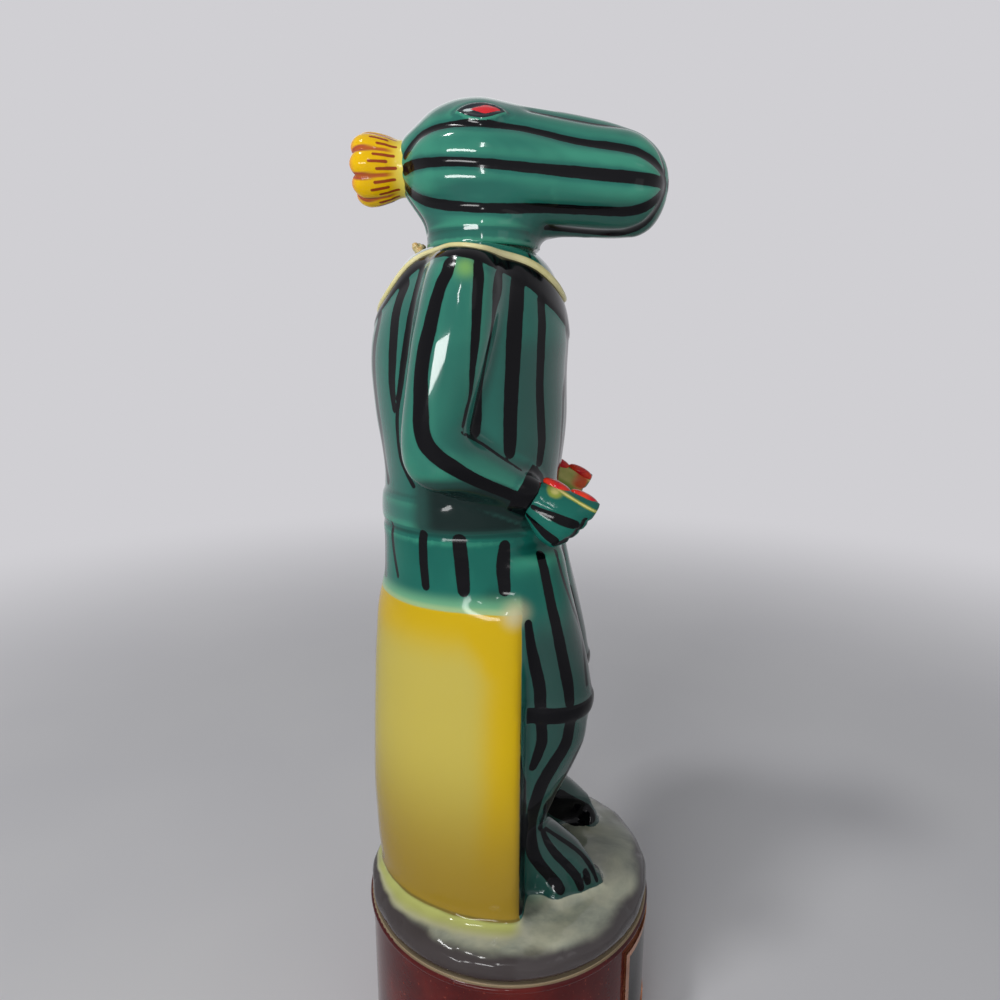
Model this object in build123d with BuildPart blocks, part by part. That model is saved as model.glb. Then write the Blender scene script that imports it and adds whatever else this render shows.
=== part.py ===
from build123d import *
import os
from math import cos, degrees, radians, sin, tan

# Figural decanter: a squash-headed dancer in a long yellow wrap, standing on a rocky mound over a
# round drum. Millimetres. +Z is up, +X is the way the figure faces, and the origin is the centre
# of the foot ring, on the surface that the decanter stands on. The figure's right is at -Y.

os.makedirs("parts", exist_ok=True)

overrun = 1.0
wall = 4.6

# Drum and its foot ring
drum_radius = 50.0
drum_height = 52.0
foot_recess = 2.5
foot_ring_width = 7.0
foot_edge = 1.5
bead_height = 2.2
bead_proud = 1.0
bead_drop = 0.6
bead_round_share = 0.95

# Name plate, left blank, and its frame
plate_half_angle = 33.0
plate_bottom = 9.0
plate_height = 35.0
plate_thick = 0.6
glue_gap = 0.05
frame_width = 2.2
frame_thick = 1.0

# Mound, with the rim that covers the drum and the spigot that enters it
mound_height = 10.0
mound_inset = 1.4
mound_slope = 6.0
mound_crown = 1.2
rim_inset = 0.4
rim_height = 1.4
spigot_height = 4.0
spigot_gap = 0.2

# Wrap: closed round the back, open in front of the legs
wrap_height = 106.0
wrap_back = 48.9
wrap_half_width = 38.5
wrap_front = 6.5

# Trunk, from the top of the wrap to the seat under the head
waist_height = 18.5
belt_height = 12.0
chest_height = 74.0
trunk_back = 44.6
trunk_front = 18.9
trunk_half_width = 35.0
belt_proud = 0.9

# Arms
arm_half_spread = 36.5
arm_half_depth = 11.35
arm_half_width = 9.2
arm_swing = 8.6
shoulder_draw = 9.0
elbow_x = -15.3
elbow_drop = 61.3
forearm_half_height = 9.6
forearm_length = 28.0
forearm_slope = 25.4
section_slope = 30.0
wrist_draw = 10.5
cuff_proud = 0.5

# Hands and the pods in them
hand_length = 17.0
hand_half_height = 9.4
hand_half_thick = 6.0
pod_length = 8.2
pod_radius = 2.5
pod_draw = 1.0

# Legs and feet
leg_half_spread = 16.0
leg_front = 28.4
thigh_half_depth = 15.8
thigh_half_width = 15.4
knee_band_height = 5.5
knee_band_proud = 0.7
foot_length = 34.0
foot_half_width = 8.4
foot_height = 24.0
foot_turn_out = 1.2
toe_radius = 3.2
toe_count = 5
toe_slant = 14.0
toe_slant_power = 2.5

# Neck
neck_x = -8.5
neck_lip_height = 5.0
neck_lip_wall = 4.0
bore_radius = 10.25

# Knot of the shoulder band, at the nape
knot_length = 4.6
knot_width = 3.0
knot_height = 1.8
knot_reach = 19.8
knot_angle = 180.0

# Head
head_length = 80.9
head_back = -33.5
head_half_height = 20.2
head_rise = 23.5
head_wall = 3.6
head_width_share = 0.94
nose_radius = 1.8
nose_length = 3.0
nose_proud = 0.6
eye_length = 14.5
eye_height = 5.0
eye_proud = 0.8
eye_angle = 50.0
collar_radius = 17.6
collar_wall = 2.6
socket_wall = 3.0
drain_radius = 6.0

# Blossom at the back of the head
petal_count = 8
petal_radius = 4.3
blossom_length = 14.8
blossom_radius = 10.9
blossom_base_radius = 8.2
blossom_cup_radius = 4.2

# Stopper: a moulded core that turns in the head, and its cork
fit = 0.05
seat_gap = 0.2
flange_thick = 2.0
flange_radius = 14.0
button_radius = 9.0
button_height = 4.0
stem_radius = 6.5
stem_end = 1.2
cork_length = 16.0
cork_taper = 0.4
cork_edge = 1.0

# Levels that follow from these sizes
ground = drum_height + mound_height
wrap_top = ground + wrap_height
belt_bottom = wrap_top + waist_height
belt_top = belt_bottom + belt_height
shoulder = belt_top + chest_height
lip_top = shoulder + neck_lip_height
flange_bottom = lip_top + seat_gap
flange_top = flange_bottom + flange_thick
roof = flange_top + seat_gap
head_middle = shoulder + head_rise
inner_drum_radius = drum_radius - wall
mound_radius = drum_radius - mound_inset
rim_radius = drum_radius - rim_inset

# Wrap stations: height, back reach and half width
wrap_shares = [
    (0.00, 0.960, 0.975),
    (0.10, 0.983, 0.99),
    (0.30, 1.000, 1.00),
    (0.53, 0.982, 0.985),
    (0.75, 0.958, 0.96),
    (0.91, 0.930, 0.93),
    (1.00, 0.885, 0.90),
]
# Trunk stations: height from the wrap's top to the shoulder, back reach, front reach, half width
trunk_shares = [
    (-0.08, 0.955, 0.93, 0.93),
    (0.08, 0.945, 0.94, 0.93),
    (0.16, 0.940, 0.93, 0.91),
    (0.24, 0.925, 0.87, 0.89),
    (0.31, 0.921, 0.84, 0.89),
    (0.37, 0.927, 0.91, 0.91),
    (0.44, 0.945, 0.955, 0.94),
    (0.51, 0.974, 0.99, 0.965),
    (0.66, 1.000, 0.97, 1.00),
    (0.74, 0.989, 1.00, 1.00),
    (0.80, 0.956, 0.99, 0.98),
    (0.86, 0.899, 0.90, 0.96),
    (0.91, 0.815, 0.80, 0.92),
    (0.96, 0.745, 0.65, 0.84),
    (1.00, 0.640, 0.50, 0.66),
]
# Belt outline, a little proud of the trunk all round
belt_back_share = 0.935
belt_front_share = 0.92
belt_width_share = 0.91
# Upper arm stations from below the elbow to the shoulder: height, forward swing, draw towards
# the neck, half depth and half width
arm_shares = [
    (-0.140, 0.00, 0.00, 0.46, 0.50),
    (-0.080, -0.15, 0.00, 0.82, 0.80),
    (0.010, -0.38, 0.00, 0.87, 0.92),
    (0.160, -0.38, 0.00, 0.85, 0.97),
    (0.290, -0.18, 0.00, 0.90, 1.00),
    (0.410, 0.02, 0.00, 0.96, 1.00),
    (0.560, 0.24, 0.02, 1.00, 1.02),
    (0.700, 0.44, 0.10, 1.00, 1.06),
    (0.820, 0.56, 0.25, 0.98, 1.12),
    (0.890, 0.62, 0.50, 0.90, 1.12),
    (0.935, 0.66, 0.80, 0.76, 1.00),
    (0.965, 0.68, 1.10, 0.52, 0.74),
]
# Forearm stations from elbow to cuff end: length and half height; the cuff takes the last fifth
forearm_shares = [(0.0, 1.0), (0.22, 0.88), (0.48, 0.745), (0.71, 0.615), (1.0, 0.56)]
forearm_thick_share = 0.96
cuff_start_share = 0.80
# Hand stations: length, lift, half height, half thickness
hand_shares = [
    (0.00, 0.00, 0.56, 0.80),
    (0.18, -0.13, 0.80, 0.92),
    (0.38, -0.18, 0.93, 1.00),
    (0.65, -0.15, 1.00, 1.00),
    (0.82, 0.04, 0.84, 0.82),
    (0.94, 0.35, 0.57, 0.55),
    (1.00, 0.62, 0.27, 0.26),
]
# Pod places on the hand: length and lift of the pod's middle
pod_shares = {"near": (0.20, 0.62), "far": (0.70, 0.76)}
# Leg stations from the ground: height, front reach, half depth, half width
leg_shares = [
    (0.00, 0.42, 0.56, 0.55),
    (0.20, 0.43, 0.55, 0.54),
    (0.30, 0.60, 0.66, 0.65),
    (0.38, 0.72, 0.75, 0.74),
    (0.46, 0.85, 0.84, 0.83),
    (0.53, 0.95, 0.89, 0.88),
    (0.61, 0.965, 0.90, 0.89),
    (0.68, 1.00, 0.92, 0.90),
    (0.75, 0.97, 0.94, 0.93),
    (0.90, 0.84, 0.98, 0.97),
    (1.02, 0.72, 1.00, 0.99),
    (1.14, 0.63, 0.98, 0.96),
]
knee_share = 0.655
knee_depth_share = 0.91
# Foot stations: height, middle, half length, half width
foot_shares = [
    (-0.05, 0.44, 0.46, 0.96),
    (0.20, 0.45, 0.49, 1.04),
    (0.40, 0.42, 0.48, 1.04),
    (0.60, 0.35, 0.42, 1.03),
    (0.80, 0.25, 0.35, 1.02),
    (1.02, 0.13, 0.27, 1.01),
]
toe_line_share = 0.93
# Head stations along the snout: length, droop below the middle, half height
head_shares = [
    (0.000, -0.064, 0.410),
    (0.025, -0.030, 0.500),
    (0.068, 0.035, 0.683),
    (0.130, 0.025, 0.881),
    (0.216, 0.000, 0.980),
    (0.315, -0.002, 1.000),
    (0.451, 0.054, 0.920),
    (0.637, 0.106, 0.844),
    (0.785, 0.193, 0.802),
    (0.889, 0.248, 0.738),
    (0.948, 0.272, 0.584),
    (0.983, 0.252, 0.381),
    (1.000, 0.248, 0.173),
]
hollow_from_share = 0.068
hollow_to_share = 0.948
eye_length_share = 0.315
# Blossom stations: length and radius
blossom_shares = [(0.0, 0.0), (0.15, 0.10), (0.35, 0.42), (0.50, 0.75), (0.66, 0.80)]


# Drum: a thick-walled cup, open under the mound, on a ring left free of glaze
with BuildPart() as drum_shell:
    with BuildSketch(Plane.XZ):
        with BuildLine():
            Polyline(
                (0, foot_recess),
                (drum_radius - foot_ring_width, foot_recess),
                (drum_radius - foot_ring_width, 0),
                (drum_radius - foot_edge, 0),
                (drum_radius, foot_edge),
                (drum_radius, drum_height),
                (inner_drum_radius, drum_height),
                (inner_drum_radius, foot_recess + wall),
                (0, foot_recess + wall),
                close=True,
            )
        make_face()
    revolve(axis=Axis.Z)
    with BuildSketch(Plane.XZ):
        with Locations((drum_radius, drum_height - bead_drop - bead_height / 2)):
            RectangleRounded(2 * bead_proud, bead_height, bead_round_share * bead_proud)
    revolve(axis=Axis.Z)
drum_shell.part.label = "drum_shell"
export_step(drum_shell.part, "parts/drum_shell.step")

# Frame of the name plate: a curved slab on the front of the drum with a window through it
frame_reach = drum_radius + frame_thick + overrun
frame_half_angle = plate_half_angle + degrees(frame_width / drum_radius)
with BuildPart() as plate_frame:
    with BuildSketch(Plane.XY.offset(plate_bottom - frame_width)):
        with BuildLine():
            Polyline(
                (0, 0),
                (frame_reach, frame_reach * tan(radians(frame_half_angle))),
                (frame_reach, -frame_reach * tan(radians(frame_half_angle))),
                close=True,
            )
        make_face()
        Circle(drum_radius + frame_thick, mode=Mode.INTERSECT)
        Circle(drum_radius + glue_gap, mode=Mode.SUBTRACT)
    extrude(amount=plate_height + 2 * frame_width)
    with BuildSketch(Plane.XY.offset(plate_bottom)):
        with BuildLine():
            Polyline(
                (0, 0),
                (frame_reach, frame_reach * tan(radians(plate_half_angle))),
                (frame_reach, -frame_reach * tan(radians(plate_half_angle))),
                close=True,
            )
        make_face()
    extrude(amount=plate_height, mode=Mode.SUBTRACT)
plate_frame.part.label = "plate_frame"
export_step(plate_frame.part, "parts/plate_frame.step")

# Name plate, let into the frame
with BuildPart() as name_plate:
    with BuildSketch(Plane.XY.offset(plate_bottom)):
        with BuildLine():
            Polyline(
                (0, 0),
                (frame_reach, frame_reach * tan(radians(plate_half_angle))),
                (frame_reach, -frame_reach * tan(radians(plate_half_angle))),
                close=True,
            )
        make_face()
        Circle(drum_radius + plate_thick, mode=Mode.INTERSECT)
        Circle(drum_radius + glue_gap, mode=Mode.SUBTRACT)
    extrude(amount=plate_height)
name_plate.part.label = "name_plate"
export_step(name_plate.part, "parts/name_plate.step")

# Frames that the arms and hands share: the arm slopes down and its sections lean with the cuff
trunk_height = shoulder - wrap_top
elbow_height = shoulder - elbow_drop
arm_axis = (cos(radians(forearm_slope)), -sin(radians(forearm_slope)))
section_normal = (cos(radians(section_slope)), 0, -sin(radians(section_slope)))
hand_reach = (hand_length * section_normal[0], hand_length * section_normal[2])
hand_rise = (
    hand_half_height * sin(radians(section_slope)),
    hand_half_height * cos(radians(section_slope)),
)
cuff_end_x = elbow_x + forearm_length * arm_axis[0]
cuff_end_z = elbow_height + forearm_length * arm_axis[1]
cuff_end_spread = arm_half_spread - wrist_draw

# Figure: wrap, trunk, belt, arms, legs and mound in one hollow casting
with BuildPart() as figure_shell:
    for height, back, width in wrap_shares:
        with BuildSketch(Plane.XY.offset(ground - overrun + height * (wrap_height + overrun))):
            Ellipse(back * wrap_back, width * wrap_half_width)
    loft(ruled=True)
    with Locations((wrap_front + wrap_back, 0, ground + wrap_height / 2)):
        Box(2 * wrap_back, 3 * wrap_half_width, 2 * wrap_height, mode=Mode.SUBTRACT)
    for height, back, front, width in trunk_shares:
        with BuildSketch(Plane.XY.offset(wrap_top + height * trunk_height)):
            with Locations(((front * trunk_front - back * trunk_back) / 2, 0)):
                Ellipse(width * trunk_half_width, (front * trunk_front + back * trunk_back) / 2, rotation=90)
    loft(ruled=True)
    with BuildSketch(Plane.XY.offset(belt_bottom)):
        with Locations(((belt_front_share * trunk_front - belt_back_share * trunk_back) / 2, 0)):
            Ellipse(
                belt_width_share * trunk_half_width + belt_proud,
                (belt_front_share * trunk_front + belt_back_share * trunk_back) / 2 + belt_proud,
                rotation=90,
            )
    extrude(amount=belt_height)
    for side in (-1, 1):
        for height, swing, draw, depth, width in arm_shares:
            arm_y = side * (arm_half_spread - draw * shoulder_draw)
            with BuildSketch(Plane.XY.offset(elbow_height + height * elbow_drop)):
                with Locations((elbow_x + swing * arm_swing, arm_y)):
                    Ellipse(depth * arm_half_depth, width * arm_half_width)
        loft(ruled=True)
        for share, size in forearm_shares:
            middle = (
                elbow_x + share * forearm_length * arm_axis[0],
                side * (arm_half_spread - share * wrist_draw),
                elbow_height + share * forearm_length * arm_axis[1],
            )
            with BuildSketch(Plane(origin=middle, x_dir=(0, 1, 0), z_dir=section_normal)):
                Ellipse(forearm_thick_share * size * forearm_half_height, size * forearm_half_height)
        loft(ruled=True)
        for share in (cuff_start_share, 1.0):
            middle = (
                elbow_x + share * forearm_length * arm_axis[0],
                side * (arm_half_spread - share * wrist_draw),
                elbow_height + share * forearm_length * arm_axis[1],
            )
            cuff_half_height = forearm_shares[-1][1] * forearm_half_height + cuff_proud
            with BuildSketch(Plane(origin=middle, x_dir=(0, 1, 0), z_dir=section_normal)):
                Ellipse(forearm_thick_share * cuff_half_height, cuff_half_height)
        loft(ruled=True)
    for side in (-1, 1):
        for height, front, depth, width in leg_shares:
            with BuildSketch(Plane.XY.offset(ground + height * wrap_height)):
                with Locations((front * leg_front - depth * thigh_half_depth, side * leg_half_spread)):
                    Ellipse(depth * thigh_half_depth, width * thigh_half_width)
        loft(ruled=True)
        knee_half_depth = knee_depth_share * thigh_half_depth + knee_band_proud
        with BuildSketch(Plane.XY.offset(ground + knee_share * wrap_height - knee_band_height / 2)):
            with Locations((leg_front - knee_half_depth + knee_band_proud, side * leg_half_spread)):
                Ellipse(knee_half_depth, knee_depth_share * thigh_half_width + knee_band_proud)
        extrude(amount=knee_band_height)
        for height, middle, length, width in foot_shares:
            with BuildSketch(Plane.XY.offset(ground + height * foot_height)):
                with Locations((middle * foot_length, side * (leg_half_spread + middle * foot_turn_out))):
                    Ellipse(length * foot_length, width * foot_half_width)
        loft(ruled=True)
        for toe in range(toe_count):
            across = 2 * toe / (toe_count - 1) - 1
            outward = (1 + side * across) / 2
            with Locations(
                (
                    toe_line_share * foot_length - toe_slant * outward**toe_slant_power,
                    side * (leg_half_spread + foot_turn_out) + across * (foot_half_width - toe_radius / 2),
                    ground + toe_radius,
                )
            ):
                Sphere(toe_radius)
    with BuildSketch(Plane.XZ):
        with BuildLine():
            Polyline(
                (0, drum_height - spigot_height),
                (inner_drum_radius - spigot_gap, drum_height - spigot_height),
                (inner_drum_radius - spigot_gap, drum_height),
                (rim_radius, drum_height),
                (rim_radius, drum_height + rim_height),
                (mound_radius, drum_height + rim_height),
                (mound_radius, ground - mound_slope / 2),
                (mound_radius - mound_slope, ground),
                (0, ground + mound_crown),
                close=True,
            )
        make_face()
    revolve(axis=Axis.Z)
    with BuildSketch(Plane.XY.offset(shoulder)):
        with Locations((neck_x, 0)):
            Circle(bore_radius + neck_lip_wall)
    extrude(amount=neck_lip_height)
    # The hollow: mound, wrap, trunk and neck bore
    with Locations((0, 0, drum_height - spigot_height)):
        Cylinder(
            inner_drum_radius - spigot_gap - wall / 2,
            spigot_height + mound_height - wall,
            align=(Align.CENTER, Align.CENTER, Align.MIN),
            mode=Mode.SUBTRACT,
        )
    for height, back, width in wrap_shares:
        with BuildSketch(Plane.XY.offset(ground - wall - overrun + height * wrap_height)):
            Ellipse(back * wrap_back - wall, width * wrap_half_width - wall)
            with Locations((wrap_front - wall + wrap_back, 0)):
                Rectangle(2 * wrap_back, 3 * wrap_half_width, mode=Mode.SUBTRACT)
    loft(ruled=True, mode=Mode.SUBTRACT)
    for height, back, front, width in trunk_shares:
        with BuildSketch(Plane.XY.offset(wrap_top - wall / 2 + height * (trunk_height - wall / 2))):
            with Locations(((front * trunk_front - back * trunk_back) / 2, 0)):
                Ellipse(
                    width * trunk_half_width - wall,
                    (front * trunk_front + back * trunk_back) / 2 - wall,
                    rotation=90,
                )
    loft(ruled=True, mode=Mode.SUBTRACT)
    with Locations((neck_x, 0, shoulder - 2 * wall)):
        Cylinder(
            bore_radius,
            2 * wall + neck_lip_height + overrun,
            align=(Align.CENTER, Align.CENTER, Align.MIN),
            mode=Mode.SUBTRACT,
        )
figure_shell.part.label = "figure_shell"
export_step(figure_shell.part, "parts/figure_shell.step")

# Hands, each luted to its cuff, and two pods on top of each
for name, side in (("right", -1), ("left", 1)):
    with BuildPart() as hand:
        for length, lift, height, thick in hand_shares:
            middle = (
                cuff_end_x + length * hand_reach[0] + lift * hand_rise[0],
                side * cuff_end_spread,
                cuff_end_z + length * hand_reach[1] + lift * hand_rise[1],
            )
            with BuildSketch(Plane(origin=middle, x_dir=(0, 1, 0), z_dir=section_normal)):
                Ellipse(thick * hand_half_thick, height * hand_half_height)
        loft(ruled=True)
        add(figure_shell.part, mode=Mode.SUBTRACT)
    hand.part.label = f"{name}_hand"
    export_step(hand.part, f"parts/{name}_hand.step")
    for place, (length, lift) in pod_shares.items():
        middle = (
            cuff_end_x + length * hand_reach[0] + lift * hand_rise[0],
            side * (cuff_end_spread - pod_draw),
            cuff_end_z + length * hand_reach[1] + lift * hand_rise[1],
        )
        with BuildPart() as pod:
            with BuildSketch(Plane(origin=middle, x_dir=section_normal, z_dir=(0, 1, 0))):
                Ellipse(pod_length / 2, pod_radius)
                with Locations((0, -pod_radius)):
                    Rectangle(2 * pod_length, 2 * pod_radius, mode=Mode.SUBTRACT)
            revolve(axis=Axis(middle, section_normal))
            add(hand.part, mode=Mode.SUBTRACT)
            add(figure_shell.part, mode=Mode.SUBTRACT)
        pod.part.label = f"{name}_{place}_pod"
        export_step(pod.part, f"parts/{name}_{place}_pod.step")

# Knot of the shoulder band, lying on the shoulder behind the neck
knot_x = neck_x + knot_reach * cos(radians(knot_angle))
knot_y = knot_reach * sin(radians(knot_angle))
with BuildPart() as shoulder_knot:
    with BuildSketch(Plane.XY.offset(shoulder)):
        with Locations((knot_x, knot_y)):
            Ellipse(knot_length / 2, knot_width / 2, rotation=knot_angle + 90)
    extrude(amount=knot_height)
    chamfer(shoulder_knot.faces().sort_by(Axis.Z)[-1].edges(), knot_height / 4)
shoulder_knot.part.label = "shoulder_knot"
export_step(shoulder_knot.part, "parts/shoulder_knot.step")

# Head: a hollow squash shape with its collar, a nose and two raised eyes
hollow_shares = [row for row in head_shares if hollow_from_share <= row[0] <= hollow_to_share]
blossom_height = head_middle - head_shares[0][1] * head_half_height
nose_height = head_middle - head_shares[-1][1] * head_half_height
nose_tip = head_back + head_length + nose_proud
eye_x = head_back + eye_length_share * head_length
with BuildPart() as head_shell:
    for length, droop, height in head_shares:
        middle = (head_back + length * head_length, 0, head_middle - droop * head_half_height)
        with BuildSketch(Plane(origin=middle, x_dir=(0, 1, 0), z_dir=(1, 0, 0))):
            Ellipse(head_width_share * height * head_half_height, height * head_half_height)
    loft(ruled=True)
    nose_root = (nose_tip - nose_length, 0, nose_height)
    with BuildSketch(Plane(origin=nose_root, x_dir=(0, 1, 0), z_dir=(1, 0, 0))):
        Circle(nose_radius)
    extrude(amount=nose_length)
    for side in (-1, 1):
        lean = radians(eye_angle)
        eye_normal = (0, side * sin(lean), cos(lean))
        eye_reach = head_half_height * (head_width_share * sin(lean) ** 2 + cos(lean) ** 2) + eye_proud
        eye_middle = (eye_x, side * eye_reach * sin(lean), head_middle + eye_reach * cos(lean))
        with BuildSketch(Plane(origin=eye_middle, x_dir=(1, 0, 0), z_dir=eye_normal)):
            Ellipse(eye_length / 2, eye_height / 2)
        extrude(amount=-(eye_proud + head_wall / 2))
    with Locations((neck_x, 0, shoulder + seat_gap)):
        Cylinder(collar_radius, head_rise / 2, align=(Align.CENTER, Align.CENTER, Align.MIN))
    for length, droop, height in hollow_shares:
        middle = (head_back + length * head_length, 0, head_middle - droop * head_half_height)
        with BuildSketch(Plane(origin=middle, x_dir=(0, 1, 0), z_dir=(1, 0, 0))):
            Ellipse(
                head_width_share * height * head_half_height - head_wall,
                height * head_half_height - head_wall,
            )
    loft(ruled=True, mode=Mode.SUBTRACT)
    socket_top = roof + button_height + seat_gap
    with Locations((neck_x, 0, shoulder + seat_gap)):
        Cylinder(
            collar_radius - collar_wall / 2,
            socket_top + socket_wall - shoulder - seat_gap,
            align=(Align.CENTER, Align.CENTER, Align.MIN),
        )
        Cylinder(
            collar_radius - collar_wall,
            roof - shoulder - seat_gap,
            align=(Align.CENTER, Align.CENTER, Align.MIN),
            mode=Mode.SUBTRACT,
        )
        Cylinder(
            button_radius + fit,
            socket_top - shoulder - seat_gap,
            align=(Align.CENTER, Align.CENTER, Align.MIN),
            mode=Mode.SUBTRACT,
        )
        Cylinder(
            drain_radius,
            head_rise,
            align=(Align.CENTER, Align.CENTER, Align.MIN),
            mode=Mode.SUBTRACT,
        )
head_shell.part.label = "head_shell"
export_step(head_shell.part, "parts/head_shell.step")

# Blossom: a trumpet that opens backwards into a ring of petals round a shallow cup
with BuildPart() as head_blossom:
    for length, spread in blossom_shares:
        radius = blossom_base_radius + spread * (blossom_radius - blossom_base_radius)
        middle = (head_back - length * blossom_length, 0, blossom_height)
        with BuildSketch(Plane(origin=middle, x_dir=(0, 1, 0), z_dir=(1, 0, 0))):
            Circle(radius)
    loft(ruled=True)
    petal_middle = (head_back - blossom_length + petal_radius, 0, blossom_height)
    petal_ring = Plane(origin=petal_middle, x_dir=(0, 1, 0), z_dir=(1, 0, 0))
    with Locations(petal_ring):
        with PolarLocations(blossom_radius - petal_radius, petal_count, start_angle=90 / petal_count):
            Sphere(petal_radius)
    blossom_end = (head_back - blossom_length, 0, blossom_height)
    with BuildSketch(Plane(origin=blossom_end, x_dir=(0, 1, 0), z_dir=(1, 0, 0))):
        Circle(blossom_cup_radius)
    extrude(amount=petal_radius, mode=Mode.SUBTRACT)
head_blossom.part.label = "head_blossom"
export_step(head_blossom.part, "parts/head_blossom.step")

# Stopper core: a flange on the neck lip, a button up in the head and a stem down through the cork
with BuildPart() as stopper_core:
    with Locations((neck_x, 0, flange_bottom)):
        Cylinder(flange_radius, flange_thick, align=(Align.CENTER, Align.CENTER, Align.MIN))
        Cylinder(
            button_radius,
            flange_thick + button_height,
            align=(Align.CENTER, Align.CENTER, Align.MIN),
        )
        Cylinder(
            stem_radius,
            cork_length + stem_end,
            align=(Align.CENTER, Align.CENTER, Align.MAX),
        )
    chamfer(stopper_core.edges().group_by(Axis.Z)[0], stem_end / 2)
stopper_core.part.label = "stopper_core"
export_step(stopper_core.part, "parts/stopper_core.step")

# Cork: a tapered sleeve on the stem, up against the flange
cork_radius = bore_radius - fit
with BuildPart() as cork_sleeve:
    with BuildSketch(Plane.XZ):
        with BuildLine():
            Polyline(
                (neck_x + stem_radius, flange_bottom),
                (neck_x + cork_radius, flange_bottom),
                (neck_x + cork_radius, flange_bottom - cork_length / 2),
                (neck_x + cork_radius - cork_taper, flange_bottom - cork_length + cork_edge),
                (neck_x + cork_radius - cork_taper - cork_edge, flange_bottom - cork_length),
                (neck_x + stem_radius, flange_bottom - cork_length),
                close=True,
            )
        make_face()
    revolve(axis=Axis((neck_x, 0, 0), (0, 0, 1)))
cork_sleeve.part.label = "cork_sleeve"
export_step(cork_sleeve.part, "parts/cork_sleeve.step")
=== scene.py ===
from math import cos, pi, radians, sin

import bmesh
import bpy
import numpy as np
from mathutils import Matrix, Vector
from mathutils.bvhtree import BVHTree


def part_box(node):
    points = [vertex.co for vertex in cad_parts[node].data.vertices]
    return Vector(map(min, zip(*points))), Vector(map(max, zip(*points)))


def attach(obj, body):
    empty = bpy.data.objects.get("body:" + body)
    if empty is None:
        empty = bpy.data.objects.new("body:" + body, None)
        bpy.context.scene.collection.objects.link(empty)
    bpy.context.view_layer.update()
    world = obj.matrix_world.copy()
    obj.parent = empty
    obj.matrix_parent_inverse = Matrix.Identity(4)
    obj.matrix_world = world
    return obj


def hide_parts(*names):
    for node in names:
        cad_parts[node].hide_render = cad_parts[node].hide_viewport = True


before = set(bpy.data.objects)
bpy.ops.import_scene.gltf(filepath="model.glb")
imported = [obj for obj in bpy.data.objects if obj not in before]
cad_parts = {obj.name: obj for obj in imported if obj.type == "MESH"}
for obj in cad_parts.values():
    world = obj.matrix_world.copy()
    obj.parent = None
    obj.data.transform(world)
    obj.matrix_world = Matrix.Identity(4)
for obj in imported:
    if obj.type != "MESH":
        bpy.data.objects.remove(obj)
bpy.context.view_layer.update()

# Sizes in the making below are millimetres; meshes are written in metres.
MM = 0.001

# Levels and places that the CAD fixes
DRUM_TOP = 52.0
GROUND = 62.0
WRAP_TOP = 168.0
BELT_LOW, BELT_HIGH = 186.5, 198.5
SHOULDER = 272.5
NECK_X = -8.5
BORE_RADIUS = 10.25
LIP_TOP = 277.5
SOCKET_RADIUS = 9.05
SOCKET_TOP = 284.1
COLLAR_BOTTOM, COLLAR_TOP = 272.7, 277.0
COLLAR_RADIUS = 17.6
WRAP_BACK, WRAP_HALF_WIDTH, WRAP_FRONT = 48.9, 38.5, 6.5
# Half the width between the wrap's front edges, where the legs come out
WRAP_INNER = 26
# Where the mound's rim starts, outside the spigot that enters the base
RIM_RADIUS = 46.0
TRUNK_MIDDLE_X = -12.8
# The neck stays as cast: how far it reaches round its axis, and where it starts
NECK_REACH, NECK_FOOT = 15.2, 249.0
NOSE_X, NOSE_Z, NOSE_RADIUS = 48.0, 291.0, 2.6

# The left arm: middle of its elbow and of its wrist, and how the cuff and the hand slope down
ELBOW = np.array([-15.3, 36.5, 211.2])
WRIST = np.array([9.99, 26.0, 199.2])
HAND_SLOPE = radians(30.0)
SLANT = np.array([cos(HAND_SLOPE), 0.0, -sin(HAND_SLOPE)])
RISE = np.array([sin(HAND_SLOPE), 0.0, cos(HAND_SLOPE)])

# Size of the even quads that a casting's skin is made of, and the share of them kept on the figure
FIGURE_GRAIN, HEAD_GRAIN, HAND_GRAIN = 1.0, 0.7, 0.45
FIGURE_SHARE = 0.6

# Painted bands: level of the knees' and place of the cuffs' along the wrist, with half widths
KNEE_LEVEL, KNEE_HALF = 131.5, 2.6
CUFF_BACK, CUFF_HALF, CUFF_RADIUS = 2.9, 3.5, 9.4

# How deep painted strokes and creases lie, and how far the bands stand out
STROKE_DEPTH, CREASE_DEPTH, CRACK_DEPTH = 0.1, 0.6, 0.5
BAND_RISE, KNEE_RISE, CUFF_RISE = 0.4, 0.35, 0.3

# A field's value far from its band or mark
FAR = 9.0

# Band and cord round the shoulders: half widths of the band at back and chest and of the cord,
# and how low they hang at back and chest
BAND_HALF, CHEST_HALF, CORD_HALF = 2.2, 4.0, 1.15
BACK_DIP, CHEST_DIP = 250.0, 250.0
# The cord lies this far off the skin and clear of the collar, and has a ring this often
CORD_LIFT, COLLAR_GAP, CORD_SPACING = 0.3, 0.2, 1.2

# Camera: where the photograph was taken from, which way it looks, and its pinhole in pixels
EYE = np.array([16.77, -229.41, 240.6])
SIGHT_FORWARD = np.array([-0.0854, 0.9758, -0.2011])
SIGHT_RIGHT = np.array([0.99619, 0.08716, 0.0])
SIGHT_UP = np.cross(SIGHT_RIGHT, SIGHT_FORWARD)
FOCAL_PIXELS = 700.0
FRAME_MIDDLE = 500.0


def place(name, data):
    made = bpy.data.objects.new(name, data)
    bpy.context.scene.collection.objects.link(made)
    return made


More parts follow.
